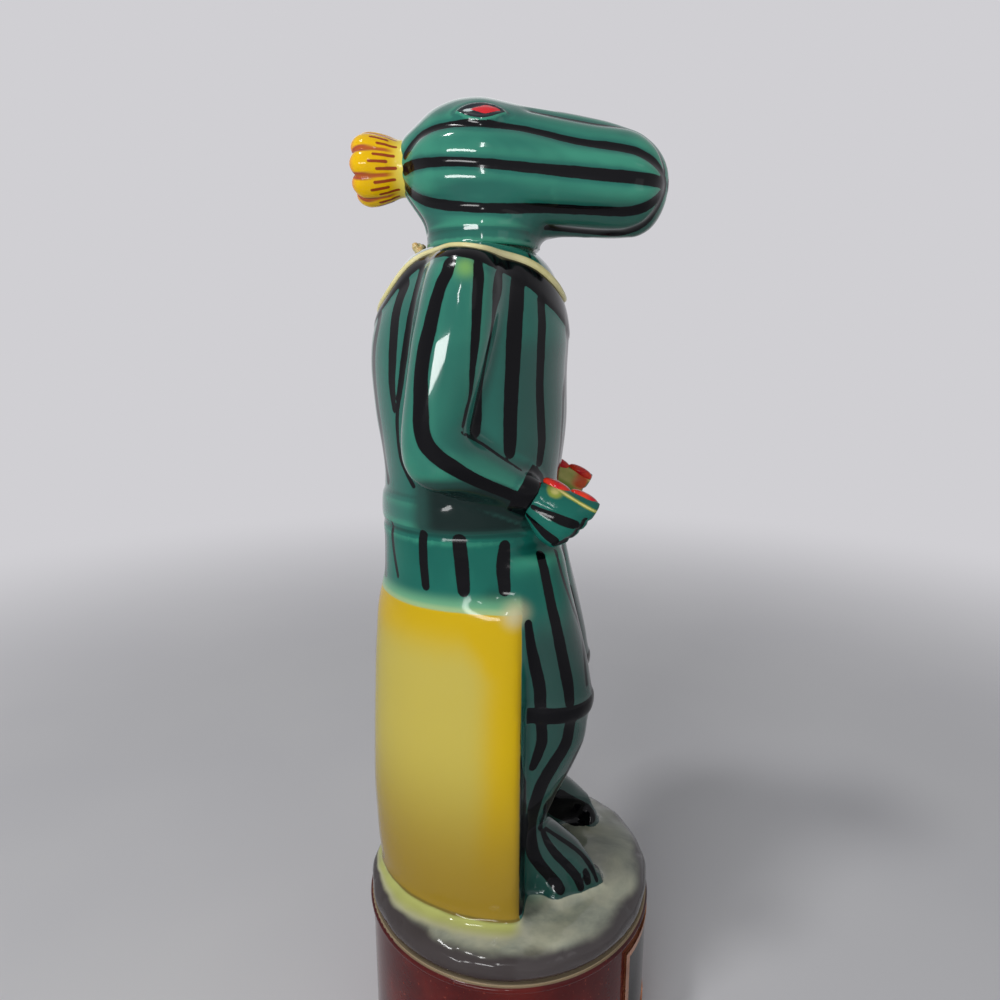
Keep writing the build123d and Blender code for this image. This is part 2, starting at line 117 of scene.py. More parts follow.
def place_camera():
    camera = place("Camera", bpy.data.cameras.new("Camera"))
    camera.data.sensor_width = 36.0
    camera.data.lens = 36.0 * FOCAL_PIXELS / (2 * FRAME_MIDDLE)
    camera.data.clip_start = 0.01
    turn = Matrix((SIGHT_RIGHT, SIGHT_UP, -SIGHT_FORWARD)).transposed().to_4x4()
    camera.matrix_world = Matrix.Translation(Vector(EYE * MM)) @ turn
    bpy.context.scene.camera = camera


def soft_lamp(name, spot, target, size, power):
    lamp = place(name, bpy.data.lights.new(name, "AREA"))
    lamp.data.shape = "RECTANGLE"
    lamp.data.size, lamp.data.size_y = size
    lamp.data.energy = power
    lamp.location = spot
    lamp.rotation_euler = (Vector(target) - Vector(spot)).to_track_quat("-Z", "Y").to_euler()


# Meshes as arrays


def arrays_of(mesh):
    points = np.empty(len(mesh.vertices) * 3)
    mesh.vertices.foreach_get("co", points)
    faces = np.array([tuple(face.vertices) for face in mesh.polygons])
    return points.reshape(-1, 3) / MM, faces


def mesh_from(name, points, faces):
    mesh = bpy.data.meshes.new(name)
    mesh.from_pydata((np.asarray(points) * MM).tolist(), [], [list(face) for face in faces])
    mesh.update()
    return mesh


def place_smooth(name, mesh):
    for face in mesh.polygons:
        face.use_smooth = True
    return place(name, mesh)


def piece_from(name, points, faces):
    return place_smooth(name, mesh_from(name, points, faces))


def keep_values(piece, fields):
    """Fields of a number per point of the piece, for its glaze to read."""
    for name, values in fields.items():
        layer = piece.data.attributes.new(name, "FLOAT", "POINT")
        layer.data.foreach_set("value", np.ascontiguousarray(values, dtype=np.float32))


def thin_out(piece, free, share):
    """Merges faces between free points, until that share of all faces is left."""
    group = piece.vertex_groups.new(name="free")
    group.add(np.flatnonzero(free).tolist(), 1.0, "REPLACE")
    modifier = piece.modifiers.new("thin", "DECIMATE")
    modifier.ratio = share
    modifier.vertex_group = group.name
    graph = bpy.context.evaluated_depsgraph_get()
    thinned = bpy.data.meshes.new_from_object(piece.evaluated_get(graph))
    piece.modifiers.clear()
    piece.vertex_groups.clear()
    before, piece.data = piece.data, thinned
    bpy.data.meshes.remove(before)


def plug(bm, x, y, low, high, radius):
    """A round plug, 48-sided, added to bm."""
    sides = 48
    rings = []
    for level in (low, high):
        ring = []
        for step in range(sides):
            turn = 2 * pi * step / sides
            at = ((x + radius * cos(turn)) * MM, (y + radius * sin(turn)) * MM, level * MM)
            ring.append(bm.verts.new(at))
        rings.append(ring)
    bm.faces.new(list(reversed(rings[0])))
    bm.faces.new(rings[1])
    for step in range(sides):
        after = (step + 1) % sides
        bm.faces.new((rings[0][step], rings[0][after], rings[1][after], rings[1][step]))


def widest_island(bm):
    """The points of the largest connected part: a casting's outside, without its closed hollow."""
    seen, widest = set(), []
    for start in bm.verts:
        if start.index in seen:
            continue
        seen.add(start.index)
        island, front = [start], [start]
        while front:
            for edge in front.pop().link_edges:
                for vertex in edge.verts:
                    if vertex.index not in seen:
                        seen.add(vertex.index)
                        island.append(vertex)
                        front.append(vertex)
        if len(island) > len(widest):
            widest = island
    return set(widest)


def cast_skin(node, plugs, grain):
    """The outside of a hollow CAD casting, closed by plugs, as evenly sized quads."""
    bm = bmesh.new()
    bm.from_mesh(bpy.data.objects[node].data)
    bmesh.ops.remove_doubles(bm, verts=bm.verts, dist=0.00001)
    for row in plugs:
        plug(bm, *row)
    mesh = bpy.data.meshes.new(node + "_blank")
    bm.to_mesh(mesh)
    bm.free()
    blank = place(node + "_blank", mesh)
    remesh = blank.modifiers.new("grain", "REMESH")
    remesh.mode = "VOXEL"
    remesh.voxel_size = grain * MM
    graph = bpy.context.evaluated_depsgraph_get()
    skin = bpy.data.meshes.new_from_object(blank.evaluated_get(graph))
    bm = bmesh.new()
    bm.from_mesh(skin)
    kept = widest_island(bm)
    bmesh.ops.delete(bm, geom=[v for v in bm.verts if v not in kept], context="VERTS")
    bm.to_mesh(skin)
    bm.free()
    points, faces = arrays_of(skin)
    bpy.data.objects.remove(blank)
    bpy.data.meshes.remove(mesh)
    bpy.data.meshes.remove(skin)
    return points, faces


def edges_of(faces):
    """Pairs of neighbouring points of a mesh of quads."""
    pairs = np.concatenate([faces[:, [a, (a + 1) % 4]] for a in range(4)])
    pairs.sort(axis=1)
    return np.unique(pairs, axis=0)


def mean_of_neighbours(points, edges, counts):
    total = np.empty_like(points)
    for axis in range(points.shape[1]):
        column = points[:, axis]
        total[:, axis] = np.bincount(edges[:, 0], column[edges[:, 1]], len(points))
        total[:, axis] += np.bincount(edges[:, 1], column[edges[:, 0]], len(points))
    return total / counts[:, None]


def melt(points, edges, rounds, amount):
    """Softens the creases; amount is a number from 0 to 1 for each point."""
    counts = np.bincount(edges.ravel(), minlength=len(points)).astype(float)
    for _ in range(rounds):
        points = points + (0.5 * amount)[:, None] * (mean_of_neighbours(points, edges, counts) - points)
    return points


def spread(values, edges, rounds):
    """A field over the points, softened."""
    counts = np.bincount(edges.ravel(), minlength=len(values)).astype(float)
    for _ in range(rounds):
        values = 0.5 * values + 0.5 * mean_of_neighbours(values[:, None], edges, counts)[:, 0]
    return values


def normals_of(points, faces):
    across = points[faces[:, 2]] - points[faces[:, 0]]
    along = points[faces[:, 3]] - points[faces[:, 1]]
    face_normals = np.cross(across, along)
    normals = np.zeros_like(points)
    for corner in range(4):
        for axis in range(3):
            normals[:, axis] += np.bincount(faces[:, corner], face_normals[:, axis], len(points))
    return normals / np.maximum(np.linalg.norm(normals, axis=1), 1e-12)[:, None]


def ease(value, low, high):
    """Eases from 0 to 1 as the value goes from low to high, or down where low is the larger."""
    share = np.clip((value - low) / (high - low), 0.0, 1.0)
    return share * share * (3 - 2 * share)


# Brush strokes: lines on a piece's surface, each with a width


def smooth_path(corners, step):
    """Points along a smooth line through the corners, about step apart; any number of columns."""
    corners = np.asarray(corners, float)
    if len(corners) == 1:
        return corners
    padded = np.vstack([2 * corners[0] - corners[1], corners, 2 * corners[-1] - corners[-2]])
    path = []
    for a, b, c, d in zip(padded, padded[1:], padded[2:], padded[3:]):
        pieces = max(1, int(np.linalg.norm((c - b)[:2]) / step))
        for share in np.arange(pieces) / pieces:
            path.append(
                0.5
                * (
                    2 * b
                    + (c - a) * share
                    + (2 * a - 5 * b + 4 * c - d) * share**2
                    + (3 * b - a - 3 * c + d) * share**3
                )
            )
    path.append(corners[-1])
    return np.array(path)


class Surface:
    """A piece's points, on which strokes are laid from the camera or from one side."""

    def __init__(self, points, faces):
        self.points = points
        self.tree = BVHTree.FromPolygons(points.tolist(), faces.tolist())

    def meet(self, origin, direction):
        spot = self.tree.ray_cast(Vector(origin), Vector(direction))[0]
        return None if spot is None else np.array(spot)

    def seen(self, path):
        """A stroke given by pixels of the photograph: x, y and half width in pixels."""
        line = []
        for x, y, half in smooth_path(path, 5.0):
            ray = (
                SIGHT_FORWARD
                + SIGHT_RIGHT * (x - FRAME_MIDDLE) / FOCAL_PIXELS
                + SIGHT_UP * (FRAME_MIDDLE - y) / FOCAL_PIXELS
            )
            spot = self.meet(EYE, ray)
            if spot is None:
                if not line:
                    continue
                reach = (line[-1][:3] - EYE) @ SIGHT_FORWARD
                spot = np.array(self.tree.find_nearest(Vector(EYE + ray * reach))[0])
            reach = (spot - EYE) @ SIGHT_FORWARD
            line.append([*spot, half * reach / FOCAL_PIXELS])
        return np.array(line)

    def cast(self, path, direction, step=2.0):
        """A stroke given by points x, y, z and a half width, laid along a direction."""
        line = []
        direction = np.array(direction, float)
        for x, y, z, half in smooth_path(path, step):
            spot = self.meet(np.array([x, y, z]) - direction * 200.0, direction)
            if spot is not None:
                line.append([*spot, half])
        return np.array(line)

    def round(self, middle, turn, low, high, half, step=2.0):
        """An upright stroke on the side that faces turn degrees from the front."""
        out = np.array([cos(radians(turn)), sin(radians(turn)), 0.0])
        line = []
        for level in np.arange(low, high, step):
            spot = self.meet(np.array([*middle, level]) + out * 200.0, -out)
            if spot is not None:
                line.append([*spot, half])
        return np.array(line)


def mirrored(lines):
    """The lines, and their mirror images on the far side."""
    flip = np.array([1.0, -1.0, 1.0, 1.0])
    return list(lines) + [line * flip for line in lines if len(line)]


def stroke_distance(points, lines, reach=8.0):
    """For each point, how far it is outside the nearest stroke's edge; inside is negative."""
    nearest = np.full(len(points), reach)
    for line in lines:
        if not len(line):
            continue
        if len(line) == 1:
            line = np.vstack([line, line + [0.01, 0, 0, 0]])
        low, high = line[:, :3].min(axis=0) - reach - 4, line[:, :3].max(axis=0) + reach + 4
        near = np.nonzero(((points > low) & (points < high)).all(axis=1))[0]
        spots = points[near]
        best = nearest[near]
        for start, end in zip(line, line[1:]):
            along = end[:3] - start[:3]
            share = np.clip(((spots - start[:3]) @ along) / max(along @ along, 1e-9), 0, 1)
            away = np.linalg.norm(spots - start[:3] - share[:, None] * along, axis=1)
            best = np.minimum(best, away - (start[3] + share * (end[3] - start[3])))
        nearest[near] = best
    return nearest


# Glazes


class Wire:
    """A socket in a tree of nodes; arithmetic on it adds Math nodes."""

    def __init__(self, tree, socket=None):
        self.tree = tree
        self.socket = socket

    def node(self, kind, settings=None, sockets=None, output=0):
        made = self.tree.nodes.new(kind)
        for key, value in (settings or {}).items():
            if key == "stops":
                ramp = made.color_ramp
                while len(ramp.elements) < len(value):
                    ramp.elements.new(0.5)
                for element, (share, colour) in zip(ramp.elements, value):
                    element.position = share
                    element.color = (*colour, 1.0)
            else:
                setattr(made, key, value)
        for key, value in (sockets or {}).items():
            if isinstance(value, Wire):
                self.tree.links.new(value.socket, made.inputs[key])
            else:
                made.inputs[key].default_value = value
        return Wire(self.tree, made.outputs[output])

    def maths(self, operation, *values):
        return self.node("ShaderNodeMath", {"operation": operation}, dict(enumerate(values)))

    def __add__(self, other):
        return self.maths("ADD", self, other)

    def __sub__(self, other):
        return self.maths("SUBTRACT", self, other)

    def __rsub__(self, other):
        return self.maths("SUBTRACT", other, self)

    def __mul__(self, other):
        return self.maths("MULTIPLY", self, other)

    __radd__ = __add__
    __rmul__ = __mul__

    def step(self, low, high):
        """Eases from 0 to 1 as the value goes from low to high."""
        return self.node(
            "ShaderNodeMapRange",
            {"interpolation_type": "SMOOTHSTEP"},
            {0: self, 1: low, 2: high, 3: 0.0, 4: 1.0},
        )

    def mix(self, under, over):
        """Colour under where this is 0 and colour over where it is 1."""
        return self.node("ShaderNodeMix", {"data_type": "RGBA"}, {0: self, 6: under, 7: over}, 2)


def tone(red, green, blue):
    """A colour as seen on a screen, 0 to 255, as the light values that Blender takes."""
    parts = []
    for part in (red, green, blue):
        share = part / 255.0
        parts.append(share / 12.92 if share <= 0.04045 else ((share + 0.055) / 1.055) ** 2.4)
    return (*parts, 1.0)


class Finish:
    """A material with one Principled shader, and the sockets that its patterns start from."""

    def __init__(self, name, roughness=0.12, coat=0.12, coat_roughness=0.03, metallic=0.0, gloss=0.12):
        self.material = bpy.data.materials.new(name)
        self.material.use_nodes = True
        self.tree = self.material.node_tree
        self.shader = self.tree.nodes["Principled BSDF"]
        self.shader.inputs["Roughness"].default_value = roughness
        self.shader.inputs["Coat Weight"].default_value = coat
        self.shader.inputs["Coat Roughness"].default_value = coat_roughness
        self.shader.inputs["Metallic"].default_value = metallic
        self.shader.inputs["Specular IOR Level"].default_value = gloss
        self.wire = Wire(self.tree)
        self.place = self.wire.node("ShaderNodeTexCoord", output=3)

    def value(self, name):
        return self.wire.node("ShaderNodeAttribute", {"attribute_name": name}, output=2)

    def cloud(self, scale, detail=3.0, roughness=0.5, distortion=0.0):
        sockets = {
            "Vector": self.place,
            "Scale": scale,
            "Detail": detail,
            "Roughness": roughness,
            "Distortion": distortion,
        }
        return self.wire.node("ShaderNodeTexNoise", None, sockets)

    def axis(self, letter):
        return self.wire.node("ShaderNodeSeparateXYZ", None, {0: self.place}, "XYZ".index(letter))

    def paint(self, colour=None, roughness=None, height=None, depth=0.0002, coat=None, metallic=None):
        links = {"Base Color": colour, "Roughness": roughness, "Coat Weight": coat, "Metallic": metallic}
        for socket, wire in links.items():
            if wire is not None:
                self.tree.links.new(wire.socket, self.shader.inputs[socket])
        if height is not None:
            bump = self.wire.node("ShaderNodeBump", None, {"Height": height, "Distance": depth})
            self.tree.links.new(bump.socket, self.shader.inputs["Normal"])
        return self.material


BLACK = tone(6, 6, 10)
TEAL = tone(25, 106, 92)
TEAL_DEEP = tone(15, 73, 65)
TEAL_LIGHT = tone(52, 137, 113)
# Teal darkened for painted shade, and near-black for painted shadow
SHADE_TEAL = tone(28, 66, 60)
SHADOW_TEAL = tone(13, 18, 20)
CREAM = tone(230, 222, 170)
BACKDROP = tone(208, 207, 211)
GOLD_YELLOW = tone(200, 166, 12)
PALE_YELLOW = tone(190, 174, 80)


def teal_glaze(finish):
    """Teal, darker in hollows, partly pooled glaze and partly painted shade; thin and paler on ridges."""
    drift = finish.cloud(28.0, 2.0)
    base = drift.step(0.35, 0.7).mix(TEAL, tone(21, 94, 83))
    curvature = finish.value("ridge")
    base = curvature.step(0.15, 0.9).mix(base, TEAL_LIGHT)
    # Darker in hollows: pooled glaze with painted shade
    return curvature.step(-0.1, -0.9).mix(base, TEAL_DEEP)


def brushed_edge(finish, name, wobble=0.2, soft=0.14):
    """1 inside a painted stroke: its edge wanders a little, as a brush does."""
    waver = finish.cloud(260.0, 2.0) - 0.5
    edge = finish.value(name) - 0.12 + waver * wobble * 2
    return 1 - edge.step(-soft, soft)


def figure_glaze():
    finish = Finish("glaze_figure", roughness=0.16)
    # Painted shade: teal darkened over the legs and beside the arms, and a near-black painted shadow under
    # the forearms
    colour = teal_glaze(finish)
    dusk = finish.value("dusk")
    colour = dusk.step(0.0, 0.6).mix(colour, SHADE_TEAL)
    colour = dusk.step(0.6, 1.2).mix(colour, SHADOW_TEAL)
    # Wrap: airbrushed golden towards its edges, pale in the middle, with a soft cream line on top
    gold = finish.value("gold") + (finish.cloud(18.0, 2.0) - 0.5) * 0.25
    wrap = gold.step(0.0, 1.0).mix(PALE_YELLOW, GOLD_YELLOW)
    # Darker amber towards the bottom and the lower back: painted shade
    wrap = finish.value("amber").step(0.2, 1.0).mix(wrap, tone(148, 121, 38))
    misted = finish.value("mist").step(0.0, 1.0).mix(colour, tone(112, 172, 132))
    misted = (finish.value("ledge") * 0.5).mix(misted, tone(190, 200, 134))
    colour = finish.value("wrap").step(0.3, 0.7).mix(misted, wrap)
    colour = finish.value("faded").step(0.1, 1.1).mix(colour, tone(196, 188, 148))
    # Mound: mottled greys and creams, with painted shade low on its side and painted shadow above the rim
    mottle = finish.cloud(34.0, 5.0, 0.6, 0.6)
    stone = finish.wire.node(
        "ShaderNodeValToRGB",
        {
            "stops": [
                (0.28, tone(96, 98, 92)[:3]),
                (0.45, tone(150, 154, 138)[:3]),
                (0.58, tone(178, 178, 156)[:3]),
                (0.74, tone(128, 140, 126)[:3]),
            ]
        },
        {0: mottle},
    )
    # Painted shade low on the side and towards the back, and painted shadow just above the rim
    smoke = finish.value("smoke") + (finish.cloud(48.0, 4.0) - 0.5) * 0.9
    stone = smoke.step(0.35, 1.05).mix(stone, tone(66, 60, 60))
    stone = finish.value("shadow").step(0.0, 1.0).mix(stone, tone(50, 40, 40))
    stone = finish.value("moss").step(0.15, 0.6).mix(stone, tone(182, 182, 146))
    stone = finish.value("moss").step(0.4, 1.0).mix(stone, tone(176, 180, 104))
    # Painted green shade on the ground beside the feet
    stone = finish.value("shade_green").step(0.2, 1.0).mix(stone, tone(92, 128, 104))
    colour = finish.value("mound").step(0.35, 0.65).mix(colour, stone)
    colour = brushed_edge(finish, "cracks", 0.3, 0.25).mix(colour, tone(58, 50, 50))
    colour = finish.value("foot_line").step(0.2, 1.0).mix(colour, tone(98, 88, 40))
    colour = finish.value("blush").step(0.0, 1.0).mix(colour, tone(120, 170, 90))
    ink = brushed_edge(finish, "ink")
    colour = ink.mix(colour, BLACK)
    thin = ink.maths("MAXIMUM", ink, finish.value("thin_coat"))
    # Neck lip, left without colour
    colour = finish.value("bare").step(0.3, 0.7).mix(colour, tone(214, 208, 186))
    rough = finish.cloud(120.0, 3.0) * 0.06 + 0.1 + finish.value("bare") * 0.4
    return finish.paint(colour, rough, finish.cloud(90.0, 2.0), 0.00003, coat=0.6 - thin * 0.5)


def head_glaze():
    finish = Finish("glaze_head", roughness=0.14)
    colour = teal_glaze(finish)
    colour = finish.value("thin").step(0.1, 1.0).mix(colour, tone(96, 172, 140))
    # Painted shade under the front of the head
    colour = finish.value("dusk").step(0.0, 1.0).mix(colour, SHADE_TEAL)
    ink = brushed_edge(finish, "ink", 0.22)
    colour = ink.mix(colour, BLACK)
    colour = brushed_edge(finish, "eye_ring", 0.1, 0.1).mix(colour, tone(14, 22, 30))
    colour = brushed_edge(finish, "eye_white", 0.05, 0.1).mix(colour, tone(190, 200, 200))
    colour = brushed_edge(finish, "eye_red", 0.08, 0.1).mix(colour, tone(208, 30, 40))
    colour = finish.value("bare").step(0.3, 0.7).mix(colour, tone(214, 208, 186))
    rough = finish.cloud(120.0, 3.0) * 0.06 + 0.1 + finish.value("bare") * 0.4
    return finish.paint(colour, rough, finish.cloud(90.0, 2.0), 0.00003, coat=0.6 - ink * 0.4)


def hand_glaze():
    finish = Finish("glaze_hands", roughness=0.14)
    colour = teal_glaze(finish)
    leaf = finish.value("leaf") + (finish.cloud(150.0, 2.0) - 0.5) * 0.5
    colour = leaf.step(0.2, 0.7).mix(colour, tone(138, 152, 62))
    # Pale cream where the yellow-green is strongest: painted highlight along the top edge and by the wrist
    colour = leaf.step(0.7, 1.15).mix(colour, tone(222, 206, 130))
    colour = finish.value("tip").step(0.3, 1.0).mix(colour, tone(206, 84, 40))
    colour = brushed_edge(finish, "ink", 0.2).mix(colour, BLACK)
    rough = finish.cloud(160.0, 3.0) * 0.06 + 0.1
    return finish.paint(colour, rough, finish.cloud(500.0, 2.0), 0.0001)


def pod_glaze():
    finish = Finish("glaze_pods", roughness=0.1)
    drift = finish.cloud(220.0, 2.0)
    colour = drift.step(0.35, 0.65).mix(tone(206, 28, 40), tone(226, 62, 34))
    # A painted pink sheen at one end of each pod
    colour = finish.value("rim").step(0.4, 1.0).mix(colour, tone(236, 170, 150))
    return finish.paint(colour, drift * 0.05 + 0.08, drift, 0.0001)


def blossom_glaze():
    finish = Finish("glaze_blossom", roughness=0.14)
    along = finish.value("along")
    lobe = finish.value("lobe")
    colour = along.step(0.0, 0.35).mix(tone(222, 206, 92), tone(232, 184, 6))
    colour = along.step(0.86, 1.0).mix(colour, tone(230, 130, 60))
    mauve = (1 - lobe.step(0.04, 0.3)) * along.step(0.5, 0.85)
    colour = mauve.mix(colour, tone(156, 48, 62))
    colour = ((1 - lobe.step(0.0, 0.12)) * along.step(0.15, 0.4)).mix(colour, tone(182, 92, 40))
    colour = brushed_edge(finish, "dashes", 0.15, 0.15).mix(colour, tone(150, 62, 26))
    colour = finish.value("cup").step(0.3, 0.9).mix(colour, tone(150, 60, 66))
    rough = finish.cloud(160.0, 3.0) * 0.06 + 0.1
    return finish.paint(colour, rough, finish.cloud(500.0, 2.0), 0.0001)


def cord_glaze():
    finish = Finish("glaze_cord", roughness=0.16)
    drift = finish.cloud(90.0, 3.0)
    colour = drift.step(0.4, 0.75).mix(CREAM, tone(214, 206, 142))
    return finish.paint(colour, drift * 0.08 + 0.12, finish.cloud(500.0, 2.0), 0.0001)


def knot_glaze():
    finish = Finish("glaze_knot", roughness=0.2)
    drift = finish.cloud(420.0, 3.0)
    colour = drift.step(0.4, 0.7).mix(tone(232, 214, 158), tone(196, 152, 92))
    return finish.paint(colour, drift * 0.1 + 0.16, drift, 0.0002)


def base_glaze():
    """Dark red-brown glaze with lighter specks, with a dull gold line on top of the bead."""
    finish = Finish("glaze_base", roughness=0.12)
    drift = finish.cloud(30.0, 4.0, 0.6)
    colour = drift.step(0.35, 0.7).mix(tone(66, 14, 16), tone(96, 26, 22))
    speck = finish.cloud(900.0, 2.0)
    colour = speck.step(0.66, 0.74).mix(colour, tone(120, 48, 36))
    level = finish.axis("Z") * 1000.0
    gold = level.step(DRUM_TOP - 0.75, DRUM_TOP - 0.6)
    colour = gold.mix(colour, tone(160, 144, 118))
    foot = 1 - level.step(0.6, 1.4) + (finish.cloud(300.0, 2.0) - 0.5) * 0.2
    bare = foot.step(0.4, 0.6)
    colour = bare.mix(colour, tone(206, 196, 172))
    rough = gold * 0.12 + drift * 0.08 + 0.08 + bare * 0.5
    metal = gold * 0.25
    return finish.paint(colour, rough, speck * 0.4 + drift, 0.00012, coat=(1 - bare) * 0.15, metallic=metal)


def plate_enamel():
    finish = Finish("enamel_plate", roughness=0.12)
    drift = finish.cloud(60.0, 3.0)
    colour = drift.step(0.3, 0.7).mix(tone(12, 12, 13), tone(26, 24, 25))
    scuff = finish.cloud(500.0, 4.0, 0.7)
    return finish.paint(colour, scuff.step(0.55, 0.8) * 0.2 + 0.1, scuff, 0.00004)


def plate_brass():
    finish = Finish("brass_frame", roughness=0.25, coat=0.3, metallic=1.0)
    drift = finish.cloud(120.0, 4.0)
    colour = drift.step(0.35, 0.7).mix(tone(196, 132, 92), tone(150, 92, 58))
    return finish.paint(colour, drift * 0.2 + 0.18, finish.cloud(900.0, 3.0), 0.00005)


def cork_grain():
    finish = Finish("cork_grain", roughness=0.85, coat=0.0)
    grain = finish.cloud(420.0, 5.0, 0.7)
    pores = finish.wire.node(
        "ShaderNodeTexVoronoi", {"feature": "F1"}, {"Vector": finish.place, "Scale": 520.0}
    )
    colour = grain.step(0.3, 0.7).mix(tone(196, 150, 104), tone(160, 112, 72))
    dark = (1 - pores.step(0.1, 0.3)) * grain.step(0.5, 0.62)
    colour = dark.mix(colour, tone(96, 62, 38))
    return finish.paint(colour, grain * 0.1 + 0.8, grain - dark, 0.0004)


def core_plastic():
    finish = Finish("core_plastic", roughness=0.42, coat=0.0)
    drift = finish.cloud(80.0, 3.0)
    colour = drift.step(0.3, 0.7).mix(tone(216, 210, 192), tone(204, 196, 176))
    fine = finish.cloud(1600.0, 2.0)
    return finish.paint(colour, drift * 0.08 + 0.38, fine, 0.00005)


# Strokes seen in the photograph: x, y and half width in pixels. The near side is the figure's
# right; each is mirrored to its left.

ARM_STROKES = [
    [
        (449.5, 262, 6.2), (446.6, 273, 6.6), (440.7, 284, 6.8), (436, 299, 7.2), (432, 314.7, 7.8),
        (428.4, 331, 8.2), (424.4, 347, 8.5), (421.2, 366, 8.5), (420.2, 384, 8.5),
        (420.2, 410, 8.8), (420.8, 426, 8.7), (424.6, 442.3, 8.2), (433.4, 453, 8),
        (443, 461.4, 7.6), (455.5, 469, 7.2), (470, 477.6, 6.4), (490, 486.6, 5.9),
        (514.6, 496.7, 5.6),
    ],
    [
        (478.2, 265, 4.8), (479, 276.5, 5.8), (477.4, 299, 5.4), (476.6, 323, 5), (475, 346.6, 4.6),
        (472.6, 370.5, 3.4), (470.6, 394.4, 2.4), (466.6, 410.4, 2.2), (463.2, 426, 2.2),
    ],
    # A black stroke in front of the upper arm; its wide foot in the crease above the forearm is painted
    # shadow
    [
        (499.4, 273.3, 6.5), (498.6, 284, 9), (497.2, 294, 8.6), (495.2, 305.6, 5.4),
        (492.6, 324.3, 2.6), (488.6, 346.6, 2.5), (483.8, 370.5, 3.2), (479, 394.4, 4.8),
        (475.8, 418.4, 6.8), (474, 431, 7),
    ],
    [
        (421.6, 271, 6), (415.3, 295, 6), (410.4, 318, 5.4), (407, 338.6, 4.8), (401.3, 378.5, 4),
        (397.4, 410.4, 2.6), (397.5, 434.3, 2.2), (400.6, 458.2, 2.2), (407, 474.2, 2.4),
        (413.5, 486, 2.4),
    ],
    # Painted shade: a thin dark line in the crease between the forearm and the trunk
    [(462, 432.7, 1.6), (480, 442.6, 1.7), (500.5, 456.6, 1.7), (521, 470, 1.6)],
]
TRUNK_STROKES = [
    [
        (518, 278, 9), (516.5, 299, 9.3), (515, 323, 8.9), (513.8, 346.6, 8.6), (512.8, 370.5, 8.2),
        (511.4, 394.4, 7.8), (510.6, 418.4, 7.4), (510.1, 442.3, 7), (509.8, 452, 6.6),
    ],
    [
        (541, 300, 5.2), (542.2, 323, 5.8), (541.4, 346.6, 5.8), (540.4, 370.5, 5.6),
        (540, 394.4, 5.6), (541.2, 418.4, 5.8), (542, 442.3, 5.8), (539.6, 462, 4.8),
    ],
    [
        (404.5, 286, 8), (398.5, 302, 7.4), (395, 318, 7), (393.2, 338.6, 6.6), (392, 362.6, 6),
        (391.8, 386.5, 5), (394.1, 410, 2.8),
    ],
    [(391.4, 523, 2.2), (393.8, 550.4, 2.5), (398, 576, 2)],
    [(422.6, 535, 4.8), (423.2, 559.3, 4.9), (425.6, 586, 4.4)],
    [(459, 541, 6.8), (461.6, 564.6, 7), (463.8, 591, 6)],
    [(504.8, 546, 5.6), (503, 568.2, 6.6), (504.6, 590.5, 5.6)],
]
BACK_CONTOUR = [
    (379.5, 318, 6), (374.4, 345, 6.6), (373.7, 370, 6.6), (376.7, 402, 6.2), (381.5, 434, 5.6),
    (385, 458, 5), (388.2, 480, 4.4),
]
CHEST_CONTOUR = [
    (566, 324, 5), (567.6, 345, 5), (566.4, 370, 4.6), (563.6, 392, 3.6), (562.8, 415, 3),
    (561, 442.3, 2.8), (558, 468, 2.4),
]
BAND_STROKE = [
    (379.4, 316, 4), (388.9, 298.8, 5), (401.7, 281.2, 5.6), (419.2, 264.5, 6.8), (440, 253.5, 7.8),
    (460.7, 251.8, 8.2), (476.6, 254.8, 8.4), (492.6, 260.4, 8.4), (508.5, 268, 8.4), (524.4, 276.8, 8.8),
    (538.8, 287.6, 9.4), (550.5, 300.5, 9.8), (558, 313, 9.4),
]
COLLAR_STROKE = [(525.5, 250.5, 2), (530, 256.5, 2)]
LEG_STROKES = [
    [
        (540.5, 553.9, 4.5), (545.9, 577.1, 5), (551.3, 603.9, 5.4), (557.5, 630.7, 5.8),
        (562.9, 657.5, 6.2), (568.2, 684.3, 6), (570, 702, 5),
    ],
    [
        (528, 624, 4.2), (530.7, 645, 5), (535.2, 666.4, 5.8), (539.6, 688, 6), (540.5, 708, 5.6),
    ],
    [
        (555.7, 550.4, 2), (562.9, 577.1, 2), (571.8, 603.9, 2), (580.7, 630.7, 2.1),
        (584.3, 657.5, 2.1), (587, 684.3, 2.1),
    ],
    [(541.1, 722, 5), (542, 740.7, 5.4), (537.4, 755.5, 4.6), (532.5, 767.5, 3.6)],
    [
        (570.7, 722, 6), (566, 744.4, 6.6), (554.9, 762.9, 6.8), (544.8, 779.5, 6.8),
        (537.4, 796.2, 6.8), (532.8, 812.8, 6.8), (530.4, 829.5, 6.8), (531.5, 848, 6.6),
        (538.3, 862.7, 6.2), (549.4, 875.7, 5.8), (556.8, 884.9, 5.6), (561.3, 890.5, 4.6),
    ],
    [
        (590, 716.6, 2.4), (586.4, 733.3, 2.5), (577.1, 751.8, 2.5), (566, 774, 2.5),
        (554.9, 792.5, 2.5), (545.7, 811, 2.5), (540.2, 827.6, 2.5),
    ],
    [
        (542.9, 831.3, 2.6), (547.5, 842.4, 3.4), (556.8, 855.4, 4), (567.9, 866.4, 4.2),
        (577.1, 877.5, 4.2), (581.4, 888, 3.6),
    ],
    [
        (545.7, 828.5, 1.6), (560, 838, 2.2), (571, 845.4, 2.4), (581, 853.5, 2.4), (589, 863, 2.2),
        (594.6, 873, 1.8), (597.4, 881, 1.4),
    ],
    [(585.6, 871.6, 3), (587.6, 877, 3.6), (588.4, 882.4, 3.2)],
    # Painted shadow: black over the far foot's inner side, mirrored onto the near foot's inner side
    [(553, 801, 13), (564, 807, 14), (576, 812, 13), (587, 815, 9)],
    [(597, 805, 2.6), (598.4, 814, 2.6)],
]
